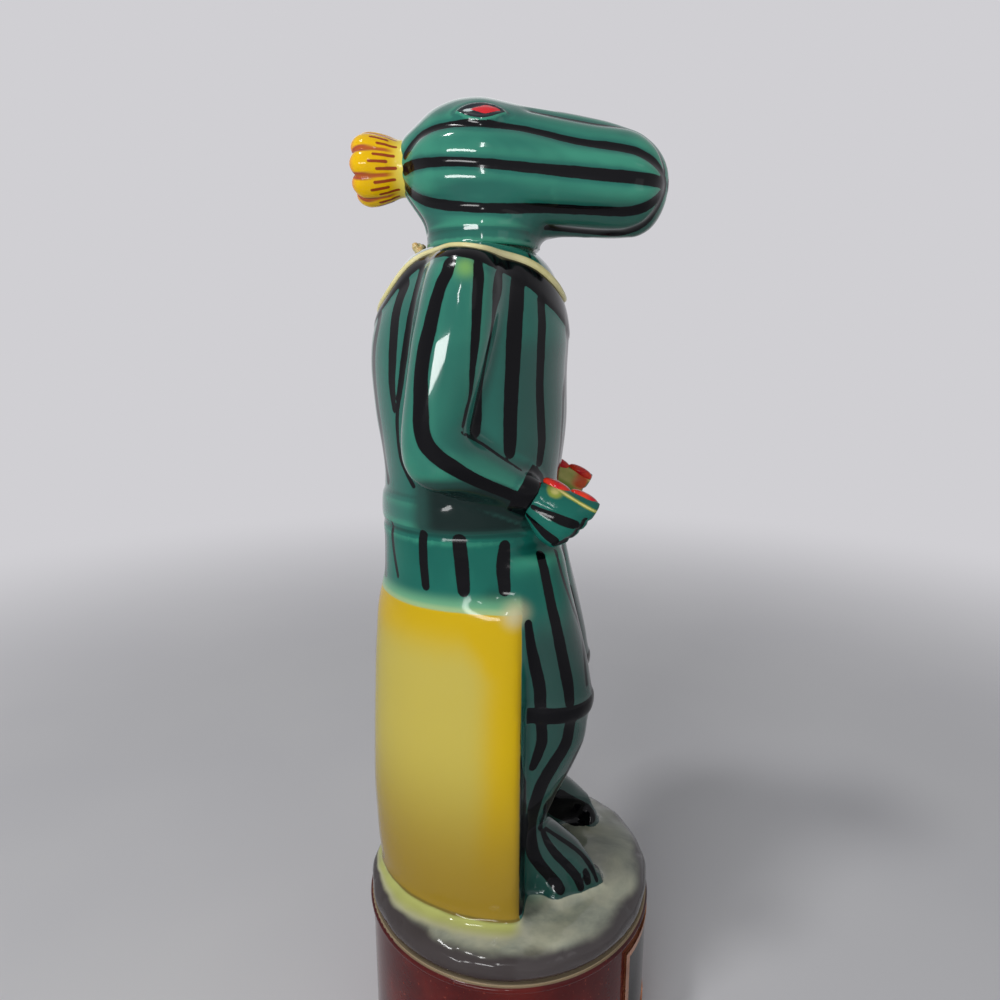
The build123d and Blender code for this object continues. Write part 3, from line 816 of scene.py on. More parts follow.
FOOT_CREASES = [
    [(554, 862, 1), (564, 873, 1.1), (570.5, 886, 1.2)],
    [(570, 862, 1), (580, 872, 1.1), (586, 884, 1.2)],
    [(583, 862, 0.9), (591, 870, 1), (595, 880, 1.1)],
]
HEAD_STROKES = [
    [(402.5, 187, 1.8), (407.5, 203, 2), (416, 219, 2), (422, 232, 1.8), (426, 239, 1.4)],
    [
        (531, 110.4, 1.2), (561.8, 116.6, 1.6), (594.4, 122.6, 2), (622.5, 126.8, 2.2),
        (644.2, 134.6, 2.4), (656, 146, 2.4), (662.6, 158.7, 2.2), (666, 172, 1.8),
    ],
    [
        (404.6, 154, 4.4), (408.2, 148, 4.4), (416.6, 137, 4.2), (431.7, 127.6, 3.8),
        (449.1, 123.6, 3.4), (466.4, 122.5, 3.2), (483.8, 123, 3.1), (501.1, 124.6, 3.2),
        (518.5, 126.8, 3.3), (535.8, 130.3, 3.4), (553.2, 134.5, 3.5), (570.5, 138.9, 3.6),
        (587.8, 142, 3.6), (605.2, 144.2, 4.5), (622.5, 146.6, 4.6), (637.7, 150.4, 4.6),
        (648.6, 156, 4.8), (657.2, 163, 4.8), (663.5, 171.5, 4.2), (666.6, 180, 3.4),
    ],
    [
        (404, 169.4, 5.6), (412.2, 165, 5), (427.4, 162.2, 4.5), (442.6, 161.5, 4.2),
        (462.1, 161.5, 4.1), (483.8, 162.8, 4.3), (505.5, 164.9, 4.5), (527.1, 167, 4.6),
        (548.8, 169.2, 4.7), (570.5, 171.3, 5.5), (592.2, 173.5, 5.6), (613.9, 175.5, 5.8),
        (635.5, 177.4, 5.8), (652.9, 179.8, 5.8), (662.8, 182.6, 5), (667, 185, 4.2),
    ],
    [
        (402.6, 184, 5), (408.4, 192.4, 5.2), (418.7, 199.4, 5.2), (431.7, 203.4, 4.8),
        (449.1, 205.4, 4.6), (470.8, 207, 4.4), (492.4, 207.8, 4.4), (514.1, 208.4, 4.5),
        (535.8, 208.8, 4.7), (557.5, 209.8, 4.8), (579.2, 210.9, 4.7), (600.9, 211.9, 4.8),
        (622.5, 212.5, 4.8), (641, 209.6, 5), (653, 203.4, 4.8), (661.5, 195.5, 4.4),
        (666.4, 188.5, 3.8),
    ],
    [
        (548, 228.6, 3.8), (561.8, 230.4, 4.6), (583.5, 232.6, 5.4), (605.2, 234, 5.8),
        (626.9, 233, 5.8), (645, 225, 5.2), (656.5, 211.4, 4.6), (663.2, 199, 4.2),
        (666.6, 189.5, 3.4),
    ],
]
HAND_STROKES = [
    [(532.5, 507, 2), (540, 510.8, 2.6), (548.6, 514.6, 3.6), (562.9, 520.9, 4.8), (575.4, 525.4, 4.6)],
    [(526.5, 515, 2), (536, 525.4, 3.4), (545, 534.3, 5), (553.5, 541, 5.4)],
    [(556, 545, 4.4), (566, 541, 3.6), (577, 532, 3), (586, 520, 2.4)],
]


def shoulder_band(surface):
    """The black band over the near shoulder, carried on to the middle of the back and of the chest."""
    seen = surface.seen(BAND_STROKE)[3:-3]
    back, chest = [], []
    for share in np.linspace(0, 1, 16, endpoint=False):
        half = BAND_HALF + (seen[0, 3] - BAND_HALF) * share
        back.append((-200, seen[0, 1] * share, BACK_DIP + (seen[0, 2] - BACK_DIP) * share**2.2, half))
    for share in np.linspace(1, 0, 16)[1:]:
        half = CHEST_HALF + (seen[-1, 3] - CHEST_HALF) * share
        chest.append((200, seen[-1, 1] * share, CHEST_DIP + (seen[-1, 2] - CHEST_DIP) * share**1.3, half))
    parts = [surface.cast(back, (1, 0, 0)), seen, surface.cast(chest, (-1, 0, 0))]
    line = np.vstack([part for part in parts if len(part)])
    line[[0, -1], 1] = 0.0
    return line


def figure_strokes(surface):
    near = [surface.seen(path) for path in ARM_STROKES + TRUNK_STROKES + LEG_STROKES]
    near += [surface.seen(path) for path in (BACK_CONTOUR, CHEST_CONTOUR, COLLAR_STROKE)]
    middle = (TRUNK_MIDDLE_X, 0.0)
    # Sides that the photograph doesn't show: chest, back, and the fronts and insides of the legs
    hidden = [
        surface.round(middle, -10, 203, 248, 2.0),
        surface.round(middle, -164, 206, 250, 1.9),
        surface.round(middle, -16, 171, 184, 1.7),
        surface.round(middle, -155, 171, 184, 1.6),
        surface.round(middle, -174, 171, 184, 1.6),
        surface.cast([(40, -15.5, 168, 1.6), (40, -17, 150, 1.8), (40, -17.5, 135, 1.8)], (-1, 0, 0)),
        surface.cast([(40, -17, 128, 1.6), (40, -17, 110, 1.5), (40, -16.5, 92, 1.3)], (-1, 0, 0)),
        surface.cast([(40, -8.5, 160, 1.3), (40, -8.5, 146, 1.5), (40, -8.5, 135, 1.5)], (-1, 0, 0)),
    ]
    return mirrored(near + hidden)


def beside(surface, line, distance):
    """Points on the surface beside a line on it, each some distance to the neck's side of it."""
    placed = []
    count = len(line)
    for index in range(count):
        spot = line[index, :3]
        forward = line[min(index + 2, count - 1), :3] - line[max(index - 2, 0), :3]
        normal = np.array(surface.tree.find_nearest(Vector(spot))[1])
        aside = np.cross(forward, normal)
        aside /= np.linalg.norm(aside)
        if aside @ (np.array([NECK_X, 0.0, 285.0]) - spot) < 0:
            aside = -aside
        placed.append(spot + aside * distance[index])
    placed = np.array(placed)
    placed[[0, -1], 1] = 0.0
    for _ in range(4):
        placed[1:-1] = 0.5 * placed[1:-1] + 0.25 * (placed[:-2] + placed[2:])
    return np.array([surface.tree.find_nearest(Vector(spot))[0] for spot in placed])


def cord_beside(surface, band):
    """The cord's middle line with half widths, and the black between the cord and the band."""
    wider = 0.8 + 2.5 * ease(band[:, 0], -2.0, 15.0) + 0.6 * ease(band[:, 0], -16.0, -26.0)
    girth = CORD_HALF * (0.68 + 0.32 * ease(band[:, 0], -8.0, 6.0))
    between = np.column_stack([beside(surface, band, wider), band[:, 3]])
    line = []
    for spot, half in zip(beside(surface, band, wider + band[:, 3] + 0.9 * girth), girth):
        normal = np.array(surface.tree.find_nearest(Vector(spot))[1])
        out = spot[:2] - (NECK_X, 0.0)
        # The cord keeps clear of the head's collar
        if spot[2] > SHOULDER - 6:
            reach = np.linalg.norm(out)
            spot[:2] += out / reach * max(0.0, COLLAR_RADIUS + half + COLLAR_GAP - reach)
        line.append([*(spot + normal * CORD_LIFT), half])
    line = np.array(line)
    line[[0, -1], 1] = 0.0
    return line, between


def local_arm(points, side):
    """How far along the slanted wrist a point lies, and how far it is from the arm's middle line."""
    elbow, wrist = ELBOW * (1, side, 1), WRIST * (1, side, 1)
    line = wrist - elbow
    share = np.clip(((points - elbow) @ line) / (line @ line), 0, 1.2)
    away = np.linalg.norm(points - elbow - share[:, None] * line, axis=1)
    return (points - wrist) @ SLANT, away


def bend_of(points, faces, edges, scale):
    """How far each point stands proud of its neighbours, from -1 in hollows to 1 on ridges."""
    counts = np.bincount(edges.ravel(), minlength=len(points)).astype(float)
    away = points - mean_of_neighbours(points, edges, counts)
    bend = spread(np.einsum("ij,ij->i", away, normals_of(points, faces)), edges, 3)
    return np.clip(bend * scale, -1, 1)


def mound_cracks():
    """Fine cracks in the mound's side, that wander as they go up."""
    cracks = []
    starts = (-164, -152, -139, -128, -108, -61, -32, 12, 48, 95, 140)
    drifts = (6, 9, 5, -7, 6, -8, 7, -9, 8, 7, -8)
    for start, drift in zip(starts, drifts):
        line = []
        for share in np.linspace(0, 1, 7):
            around = radians(start + drift * share + 2.2 * sin(7 * share + start))
            reach = 49.2 - 1.2 * share**2
            spot = (reach * cos(around), reach * sin(around), 54.0 + 7.5 * share)
            line.append([*spot, 0.25 * (1 - share) + 0.05])
        cracks.append(np.array(line))
    return cracks


def mound_swell(points):
    """Lumps and flats like weathered rock, on the mound's side and on its top."""
    x, y, z = points.T
    turn = np.arctan2(y, x)
    lumps = (
        np.sin(5 * turn + 0.7)
        + 0.7 * np.sin(9 * turn + 0.35 * (z - 56) + 2.1)
        + 0.5 * np.sin(14 * turn - 0.5 * (z - 56) + 0.4)
        + 0.35 * np.sin(23 * turn + 0.6 * (z - 56))
    )
    radius = np.hypot(x, y)
    side = ease(radius, 40, 46) * ease(z, GROUND + 3, GROUND) * ease(z, DRUM_TOP + 1, DRUM_TOP + 4)
    top = ease(z, GROUND + 2.5, GROUND + 0.8) * ease(z, GROUND - 4, GROUND - 1)
    waves = np.sin(0.31 * x + 1.2) * np.sin(0.27 * y) + 0.6 * np.sin(0.5 * x - 0.43 * y)
    return 0.28 * lumps * side + 0.25 * top * waves, side


def wrap_values(points, across):
    """The wrap is everything behind its front edge and under its top ledge."""
    x, _, z = points.T
    behind = 1 - ease(x, WRAP_FRONT - 0.6, WRAP_FRONT - 0.1)
    wrap = behind * (1 - ease(z, WRAP_TOP - 3.2, WRAP_TOP - 1.8)) * ease(z, GROUND + 0.9, GROUND + 2.1)
    gold = ease(z, 144, 165) + ease(x, -13, 3) + 0.9 * ease(z, 92, 66) * ease(x, -26, -46)
    amber = ease(z, 86, 66) * ease(x, -22, -42) * 0.7 + 0.35 * ease(x, -34, -46)
    faded = np.exp(-(((x - 4.2) / 4.8) ** 2 + ((z - 165.5) / 4.6) ** 2)) * (across > WRAP_INNER) * 0.9
    return {
        "wrap": np.where((across < WRAP_INNER) & (x > WRAP_FRONT - 3), 0.0, wrap),
        "gold": gold + 0.35 * ease(z, 112, 72) * ease(x, -26, -6),
        # Amber: darker towards the bottom and the lower back, as painted shade
        "amber": np.maximum(amber, 0.95 * ease(z, 156, 58)),
        "faded": faded,
        "ledge": behind * ease(z, WRAP_TOP - 4.2, WRAP_TOP - 2.6) * ease(z, WRAP_TOP - 0.2, WRAP_TOP - 2.0),
        "mist": behind * ease(z, WRAP_TOP + 5.0, WRAP_TOP - 1.5) * 0.8,
    }


def mound_values(points, across, radius, on_side):
    """The mound: moss round the wrap's foot, painted shade and shadow low on its side, painted green shade
    by the feet.
    """
    x, y, z = points.T
    footprint = np.hypot(x / WRAP_BACK, y / WRAP_HALF_WIDTH)
    moss = ease(footprint, 1.2, 1.0) * ease(x, WRAP_FRONT + 4, WRAP_FRONT - 4)
    moss *= ease(z, GROUND - 3.5, GROUND)
    # Painted shade: darker low on the side and towards the back, and a painted shadow just above the rim
    smoke = 1.1 * ease(z, GROUND + 0.5, DRUM_TOP + 6.5) * ease(radius, 37, 45)
    shadow = ease(z, DRUM_TOP + 4.5, DRUM_TOP + 1.0) * ease(radius, 45, 48)
    foot_line = np.exp(-(((z - GROUND - 1.9) / 0.7) ** 2)) * (x < WRAP_FRONT) * ease(footprint, 0.9, 0.96)
    # Painted green shade on the ground beside the feet
    by_feet = np.exp(-(((x - 8) / 9) ** 2 + ((across - 24) / 7) ** 2))
    return {
        "mound": 1 - ease(z, GROUND + 1.0, GROUND + 2.2),
        "moss": moss,
        "smoke": smoke + 0.35 * ease(x, -10, -40) * on_side,
        "shadow": shadow * 0.85,
        "foot_line": foot_line * 0.8,
        "shade_green": by_feet * 0.8,
    }


def shape_figure(points, edges):
    """The skin rounded and softened: the mound's side, limbs, shoulders, feet and the neck's bore."""
    x, y, z = points.T
    from_neck, radius = np.hypot(x - NECK_X, y), np.hypot(x, y)
    in_neck = (from_neck < NECK_REACH) & (z > NECK_FOOT)
    spigot = (z < DRUM_TOP + 0.8) & (radius < RIM_RADIUS)
    # The mound's side: one even round, free of the grain's steps
    side = ease(radius, 44.8, 46.4) * (z < GROUND - 0.6) * ~spigot
    level = np.clip((z - DRUM_TOP) / (GROUND - DRUM_TOP), 0, 1)
    wanted = 49.5 + 1.5 * np.sin(pi * level) - 4.2 * level**4
    for axis in (0, 1):
        points[:, axis] *= 1 + side * (wanted / np.maximum(radius, 1e-6) - 1)
    feet = ease(z, 92, 76) * ease(x, 6, 12)
    amount = np.where(z < GROUND + 1.5, 0.7, 1 - 0.85 * feet)
    amount = np.where(in_neck | spigot, 0.0, amount)
    points = melt(points, edges, 34, amount)
    # Shoulders: softer, and a little fuller
    points = melt(points, edges, 90, np.where(in_neck, 0.0, ease(z, 244, 262)))
    fullness = 0.9 * ease(z, 258, 266) * ease(from_neck, 18.5, 24)
    points[:, 2] += np.where(in_neck, 0.0, fullness)
    # Feet: their inner sides further apart, their inner toes drawn back
    parting = 4.4 * ease(x, 12, 22) * ease(x, 42, 36) * ease(z, GROUND - 1, GROUND - 0.5) * ease(z, 78, 66)
    parting *= ease(np.abs(y), 0, 9) * ease(np.abs(y), 23, 10)
    toe = 1.2 * np.exp(-(((x - 33.0) / 4.0) ** 2 + ((np.abs(y) - 10.0) / 4.0) ** 2)) * (z > GROUND + 0.5)
    points[:, 1] += np.sign(y) * parting
    points[:, 0] -= toe
    inner_toes = ease(x, 24, 28) * ease(z, GROUND + 0.4, GROUND + 1.0) * ease(z, 84, 78)
    inner_toes *= ease(np.abs(y), 19, 14)
    points = melt(points, edges, 18, inner_toes)
    # The rim stays above the drum, and the bore is a true round
    low = (z < DRUM_TOP + 2.5) & (radius > RIM_RADIUS)
    points[low, 2] = np.maximum(points[low, 2], DRUM_TOP + 0.03)
    bore = in_neck & (from_neck < BORE_RADIUS + 0.6) & (z < LIP_TOP - 0.4)
    wall = bore & (from_neck > BORE_RADIUS - 0.8)
    for axis, middle in ((0, NECK_X), (1, 0.0)):
        out = (points[wall, axis] - middle) / from_neck[wall]
        points[wall, axis] = middle + out * (BORE_RADIUS + 0.03)
    return points


def make_figure():
    plugs = [
        (NECK_X, 0, 250.0, 257.5, BORE_RADIUS + 3),
        (0, 0, 48.4, 51.0, 44.8),
    ]
    points, faces = cast_skin("figure_shell", plugs, FIGURE_GRAIN)
    edges = edges_of(faces)
    points = shape_figure(points, edges)
    normals = normals_of(points, faces)
    surface = Surface(points, faces)
    x, y, z = points.T
    across, radius = np.abs(y), np.hypot(x, y)

    band_line = shoulder_band(surface)
    cord_line, between = cord_beside(surface, band_line)
    ink = stroke_distance(points, figure_strokes(surface))
    band = stroke_distance(points, mirrored([band_line, between]))
    crease = stroke_distance(points, mirrored([surface.seen(path) for path in FOOT_CREASES]))
    crack = stroke_distance(points, mound_cracks())

    # Bands at the knees and the cuffs; painted shadow in black on the wrap's front face
    knee = np.maximum(np.abs(z - KNEE_LEVEL) - KNEE_HALF, 7.6 - x)
    knee = np.where((z < 150) & (z > 115), knee, FAR)
    cuffs = np.full(len(points), FAR)
    arms = np.full(len(points), 99.0)
    for side in (-1, 1):
        along, away = local_arm(points, side)
        arms = np.minimum(arms, away)
        up = (points - WRIST * (1, side, 1)) @ RISE
        cuff = [np.abs(along + CUFF_BACK) - CUFF_HALF, away - CUFF_RADIUS, -up - 6.0]
        cuffs = np.minimum(cuffs, np.maximum.reduce(cuff))
    # Black on the wrap's front face is painted shadow: over most of the face low down, a thin line higher
    # up
    inner_end = 27 + 8 * ease(z, 98, 124)
    wrap_front_shadow = [WRAP_FRONT - 0.4 - x, x - WRAP_FRONT - 1.0, inner_end - across, z - 161.5, 64.5 - z]
    wrap_front_shadow = np.maximum.reduce(wrap_front_shadow)

    # Relief: painted strokes lie a little low; bands are raised; the belt has a groove under it
    on_trunk = (across < 36) & (z > 180) & (z < 205)
    push = -STROKE_DEPTH * (1 - ease(ink, -0.9, 0.7)) * (z > GROUND + 3)
    push += BAND_RISE * (1 - ease(band, -1.0, 0.9))
    push += KNEE_RISE * (1 - ease(knee, -0.6, 0.8))
    push += CUFF_RISE * (1 - ease(cuffs, -0.6, 0.8))
    push -= CREASE_DEPTH * (1 - ease(crease, -0.3, 1.0))
    for level, depth in ((BELT_LOW + 2.0, 0.7), (BELT_HIGH + 0.8, 0.35)):
        push -= depth * np.exp(-(((z - level) / 1.1) ** 2)) * on_trunk * ease(arms, 10.5, 12.5)
    swell, on_mound = mound_swell(points)
    push += swell - CRACK_DEPTH * (1 - ease(crack, -0.2, 1.3)) * on_mound
    still = ((np.hypot(x - NECK_X, y) < NECK_REACH + 0.2) & (z > NECK_FOOT)) | (z < DRUM_TOP + 1.0)
    points = points + normals * np.where(still, 0.0, push)[:, None]
    points = melt(points, edges, 2, np.where(still, 0.0, 0.6))

    piece = piece_from("figure_casting", points, faces)
    x, y, z = points.T
    ink = np.minimum.reduce([ink, band, knee, cuffs, wrap_front_shadow])
    ink = np.where(z < GROUND + 0.8, FAR, ink)
    values = wrap_values(points, across)
    values.update(mound_values(points, across, radius, on_mound))
    # Painted shade and shadow: teal darkened over the legs and beside the arms, and painted shadow under
    # the forearms
    over_legs = ease(x, 5, 12) * ease(z, 174, 152) * (z > GROUND + 0.6) * 0.55
    beside_arms = ease(x, -4, 4) * ease(z, 196, 204) * ease(z, 252, 240) * ease(arms, 9.0, 11.0) * 0.35
    facing_down = ease(-normals_of(points, faces)[:, 2], -0.1, 0.35)
    under_arms = ease(x, -31, -19) * ease(z, 188, 191) * ease(z, 210, 203) * ease(x, 14, 8)
    under_arms *= np.maximum(ease(arms, 8.0, 9.5), facing_down) * ease(across, 8, 18)
    dull = [values["wrap"], 1.1 * values["mist"], 0.9 * under_arms, ease(z, 192, 188) * ease(z, 160, 170)]
    # A pale green blot on the top of the near shoulder
    blot = surface.seen([(465.5, 267, 1)])[0, :3]
    off_blot = np.stack([x - blot[0], across - abs(blot[1]), z - blot[2]])
    bare = np.where((np.hypot(x - NECK_X, y) < NECK_REACH) & (z > SHOULDER - 14), 1.0, 0.0)
    values.update(
        {
            "ink": ink,
            "cracks": crack,
            "dusk": np.maximum.reduce([over_legs, beside_arms, under_arms]),
            "thin_coat": np.clip(np.maximum.reduce(dull), 0, 1),
            "blush": 0.8 * np.exp(-(off_blot**2).sum(axis=0) / 3.2**2),
            "bare": bare,
            "ridge": bend_of(points, faces, edges, 22.0),
        }
    )
    keep_values(piece, values)
    # Fine faces stay where strokes, bands, feet and edges are
    busy = (np.minimum(ink, crack) < 1.4) | ((z < 96) & (x > 4) & (z > GROUND - 1)) | (bare > 0)
    busy |= (z > WRAP_TOP - 6) & (z < WRAP_TOP + 6)
    thin_out(piece, ~busy, FIGURE_SHARE)
    piece.data.materials.append(figure_glaze())
    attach(piece, "decanter")
    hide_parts("figure_shell")
    return cord_line


def make_cord(line):
    """The cream cord round the shoulders: a tube along a closed line on the surface."""
    tree = bpy.data.node_groups.new("cord_round_shoulders", "GeometryNodeTree")
    tree.interface.new_socket("Geometry", in_out="INPUT", socket_type="NodeSocketGeometry")
    spacing = tree.interface.new_socket("Ring spacing", in_out="INPUT", socket_type="NodeSocketFloat")
    glaze = tree.interface.new_socket("Glaze", in_out="INPUT", socket_type="NodeSocketMaterial")
    tree.interface.new_socket("Geometry", in_out="OUTPUT", socket_type="NodeSocketGeometry")
    start = tree.nodes.new("NodeGroupInput")
    end = tree.nodes.new("NodeGroupOutput")
    names = ("Geometry", "Ring spacing", "Glaze")
    path, apart, covering = (Wire(tree, start.outputs[name]) for name in names)
    curve = path.node("GeometryNodeMeshToCurve", None, {"Mesh": path})
    curve = path.node("GeometryNodeCurveSplineType", {"spline_type": "CATMULL_ROM"}, {"Curve": curve})
    curve = path.node("GeometryNodeResampleCurve", {"mode": "LENGTH"}, {"Curve": curve, "Length": apart})
    outline = path.node("GeometryNodeCurvePrimitiveCircle", None, {"Resolution": 16, "Radius": 1.0})
    girth = path.node("GeometryNodeInputNamedAttribute", {"data_type": "FLOAT"}, {"Name": "girth"})
    sockets = {"Curve": curve, "Profile Curve": outline, "Scale": girth}
    tube = path.node("GeometryNodeCurveToMesh", None, sockets)
    real = path.node("GeometryNodeRealizeInstances", None, {"Geometry": tube})
    glazed = path.node("GeometryNodeSetMaterial", None, {"Geometry": real, "Material": covering})
    tree.links.new(glazed.socket, end.inputs["Geometry"])
    loop = np.vstack([line, line[-2:0:-1] * (1, -1, 1, 1)])[::2]
    count = len(loop)
    mesh = bpy.data.meshes.new("cord_path")
    mesh.from_pydata((loop[:, :3] * MM).tolist(), [(i, (i + 1) % count) for i in range(count)], [])
    holder = place("cord_path", mesh)
    keep_values(holder, {"girth": loop[:, 3] * MM})
    modifier = holder.modifiers.new("tube", "NODES")
    modifier.node_group = tree
    modifier[spacing.identifier] = CORD_SPACING * MM
    modifier[glaze.identifier] = cord_glaze()
    graph = bpy.context.evaluated_depsgraph_get()
    tube_mesh = bpy.data.meshes.new_from_object(holder.evaluated_get(graph))
    bpy.data.objects.remove(holder)
    cord = place_smooth("shoulder_cord", tube_mesh)
    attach(cord, "decanter")


def eye_fields(points, surface):
    """Distances from the almond rims of the eyes, from their red and from their white corners."""
    ring, red, white = (np.full(len(points), FAR) for _ in range(3))
    lid_half, iris_half, eye_reach = 2.9, 1.7, 14
    # The near eye's two corners and its middle, as pixels of the photograph
    places = [(457.4, 108.9, 1), (504.0, 110.0, 1), (481.0, 108.9, 1)]
    corner_a, corner_b, spot = (surface.seen([pixel])[0, :3] for pixel in places)
    up_normal = np.array(surface.tree.find_nearest(Vector(spot))[1])
    long_way = corner_b - corner_a
    half_length = np.linalg.norm(long_way) / 2
    long_way /= 2 * half_length
    up_way = np.cross(long_way, up_normal)
    if up_way[2] < 0:
        up_way = -up_way
    for side in (-1, 1):
        flip = np.array([1.0, -side, 1.0])
        from_eye = (points * flip) - spot
        along, upward = from_eye @ long_way, from_eye @ up_way
        near = (np.linalg.norm(from_eye, axis=1) < eye_reach) & (points[:, 1] * side > 0)
        share = np.clip(np.abs(along) / half_length, 0, 1.4)
        lids = np.abs(upward) - lid_half * (1 - share**2)
        inner_share = np.clip(np.abs(along - 1.2) / (half_length * 0.62), 0, 1.6)
        iris = np.abs(upward - 0.1) - iris_half * (1 - inner_share**1.3)
        corner = np.hypot((along + half_length * 0.52) / 1.6, upward / 0.6) * 0.6 - 0.5
        ring = np.where(near, np.minimum(ring, lids), ring)
        red = np.where(near, np.minimum(red, iris), red)
        white = np.where(near, np.minimum(white, corner), white)
    return ring, red, white


def make_head():
    plugs = [(NECK_X, 0, 284.6, 287.6, 8.5)]
    points, faces = cast_skin("head_shell", plugs, HEAD_GRAIN)
    edges = edges_of(faces)
    x, y, z = points.T
    from_neck = np.hypot(x - NECK_X, y)
    inside = (from_neck < 16.2) & (z < SOCKET_TOP + 1.5)
    rim = (from_neck < COLLAR_RADIUS + 0.6) & (z < COLLAR_BOTTOM + 0.8)
    amount = np.where(inside | rim, 0.0, 1.0)
    points = melt(points, edges, 60, amount)
    flare = ease(z, COLLAR_BOTTOM + 1.2, COLLAR_BOTTOM + 4) * ease(z, 289, 284) * (from_neck < 26)
    points = melt(points, edges, 50, np.where(inside | rim, 0.0, flare))
    wall = inside & (np.abs(from_neck - SOCKET_RADIUS) < 0.6) & (z > 280.4) & (z < SOCKET_TOP - 0.3)
    out = np.stack([(x - NECK_X), y], -1) / np.maximum(from_neck, 1e-6)[:, None]
    points[wall, 0] = NECK_X + out[wall, 0] * (SOCKET_RADIUS + 0.03)
    points[wall, 1] = out[wall, 1] * (SOCKET_RADIUS + 0.03)
    normals = normals_of(points, faces)
    surface = Surface(points, faces)
    lines = mirrored([surface.seen(path) for path in HEAD_STROKES])
    nape = [(-60, 0, 291, 1.0), (-60, 0, 286, 1.1), (-60, 0, 281, 0.9), (-60, 0, 275, 0.6)]
    lines.append(surface.cast(nape, (1, 0, 0)))
    ink = stroke_distance(points, lines)
    x, y, z = points.T
    outside = ~((np.hypot(x - NECK_X, y) < COLLAR_RADIUS + 0.3) & (z < COLLAR_TOP))
    # Ribs: the strokes lie in valleys, and the flesh swells between them
    valley = np.exp(-(np.maximum(ink + 1.0, 0) / 2.2) ** 1.6)
    push = np.where(outside & (z > COLLAR_TOP - 0.5), 0.35 - 1.05 * valley, 0.0)
    push = spread(push, edges, 3) * outside
    ring, red, white = eye_fields(points, surface)
    push = np.where(ring < 3, push * ease(ring, 0.5, 3), push)
    push += 0.55 * (1 - ease(np.abs(ring), 0.2, 1.2)) + 0.35 * (1 - ease(red, -0.9, 0.3))
    points = points + normals * push[:, None]
    points = melt(points, edges, 2, amount * 0.6)

    piece = piece_from("squash_head", points, faces)
    x, y, z = points.T
    nub = np.hypot(np.hypot(y, z - NOSE_Z), x - NOSE_X) - NOSE_RADIUS
    ink = np.minimum(np.where(ring < 0.4, FAR, ink), nub)
    from_neck = np.hypot(x - NECK_X, y)
    values = {
        "ink": ink,
        "eye_ring": ring,
        "eye_red": red,
        "eye_white": white,
        "thin": ease(z, 280, 273) * (from_neck < COLLAR_RADIUS + 2) * 0.25,
        # Painted shade on the underside of the head's front
        "dusk": ease(z, 289, 281) * ease(x, -2, 12) * 0.75,
        "bare": inside.astype(float),
        "ridge": bend_of(points, faces, edges, 40.0),
    }
    keep_values(piece, values)
    piece.data.materials.append(head_glaze())
    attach(piece, "head")
    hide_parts("head_shell")


def make_hands():
    wrist = WRIST * (1, -1, 1)
    glaze = hand_glaze()
    for name, side in (("right", -1), ("left", 1)):
        points, faces = cast_skin(name + "_hand", [], HAND_GRAIN)
        edges = edges_of(faces)
        points = melt(points, edges, 14, np.ones(len(points)))
        # Work on the right hand's side; the left is its mirror image
        flip = np.array([1.0, -side, 1.0])
        here = points * flip
        # The wrist end goes on into the cuff
        along = (here - wrist) @ SLANT
        here = here - SLANT * (1.8 * ease(along, 3.5, 0.0))[:, None]
        points = here * flip
        normals = normals_of(points, faces)
        surface = Surface(here, faces if side < 0 else faces[:, ::-1])
        ink = stroke_distance(here, [surface.seen(path) for path in HAND_STROKES])
        along, up = (here - wrist) @ SLANT, (here - wrist) @ RISE
        push = -0.3 * (1 - ease(ink, -0.8, 0.8))
        # Finger ends: notches round the front rim
        for level in (-5.2, -1.4, 2.2):
            push -= 0.5 * np.exp(-(((up - level) / 0.6) ** 2)) * ease(along, 11.0, 15.0)
        points = points + normals * push[:, None]
        points = melt(points, edges, 2, np.full(len(points), 0.6))
        piece = piece_from(name + "_cupped_hand", points, faces)
        palm = ease(here[:, 1] + 26.0, 1.5, 3.5)
        # Yellow-green airbrush; its pale cream peak on the top edge and by the wrist is painted highlight
        blotch = 0.9 * np.exp(-((((along - 2.8) / 2.6) ** 2 + ((up - 5.2) / 2.0) ** 2) ** 1.4))
        top_line = np.exp(-(((up - 6.0) / 0.45) ** 2))
        leaf = 1.15 * np.maximum(blotch, top_line) * (1 - palm) + palm * ease(up, -2.0, 3.0)
        values = {
            "ink": np.where(up > 3.8, FAR, ink),
            "leaf": leaf,
            "tip": palm * ease(along, 7, 14) * ease(up, 0, 3),
            "ridge": np.zeros(len(points)),
        }
        keep_values(piece, values)
        piece.data.materials.append(glaze)
        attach(piece, "decanter")
        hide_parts(name + "_hand")


def ring_faces(rings, sides, joined=False):
    """Quads between rings of points in a row; joined closes the last ring to the first."""
    faces = []
    for ring in range(rings if joined else rings - 1):
        a, b = ring * sides, (ring + 1) % rings * sides
        for step in range(sides):
            after = (step + 1) % sides
            faces.append((a + step, a + after, b + after, b + step))
    return faces


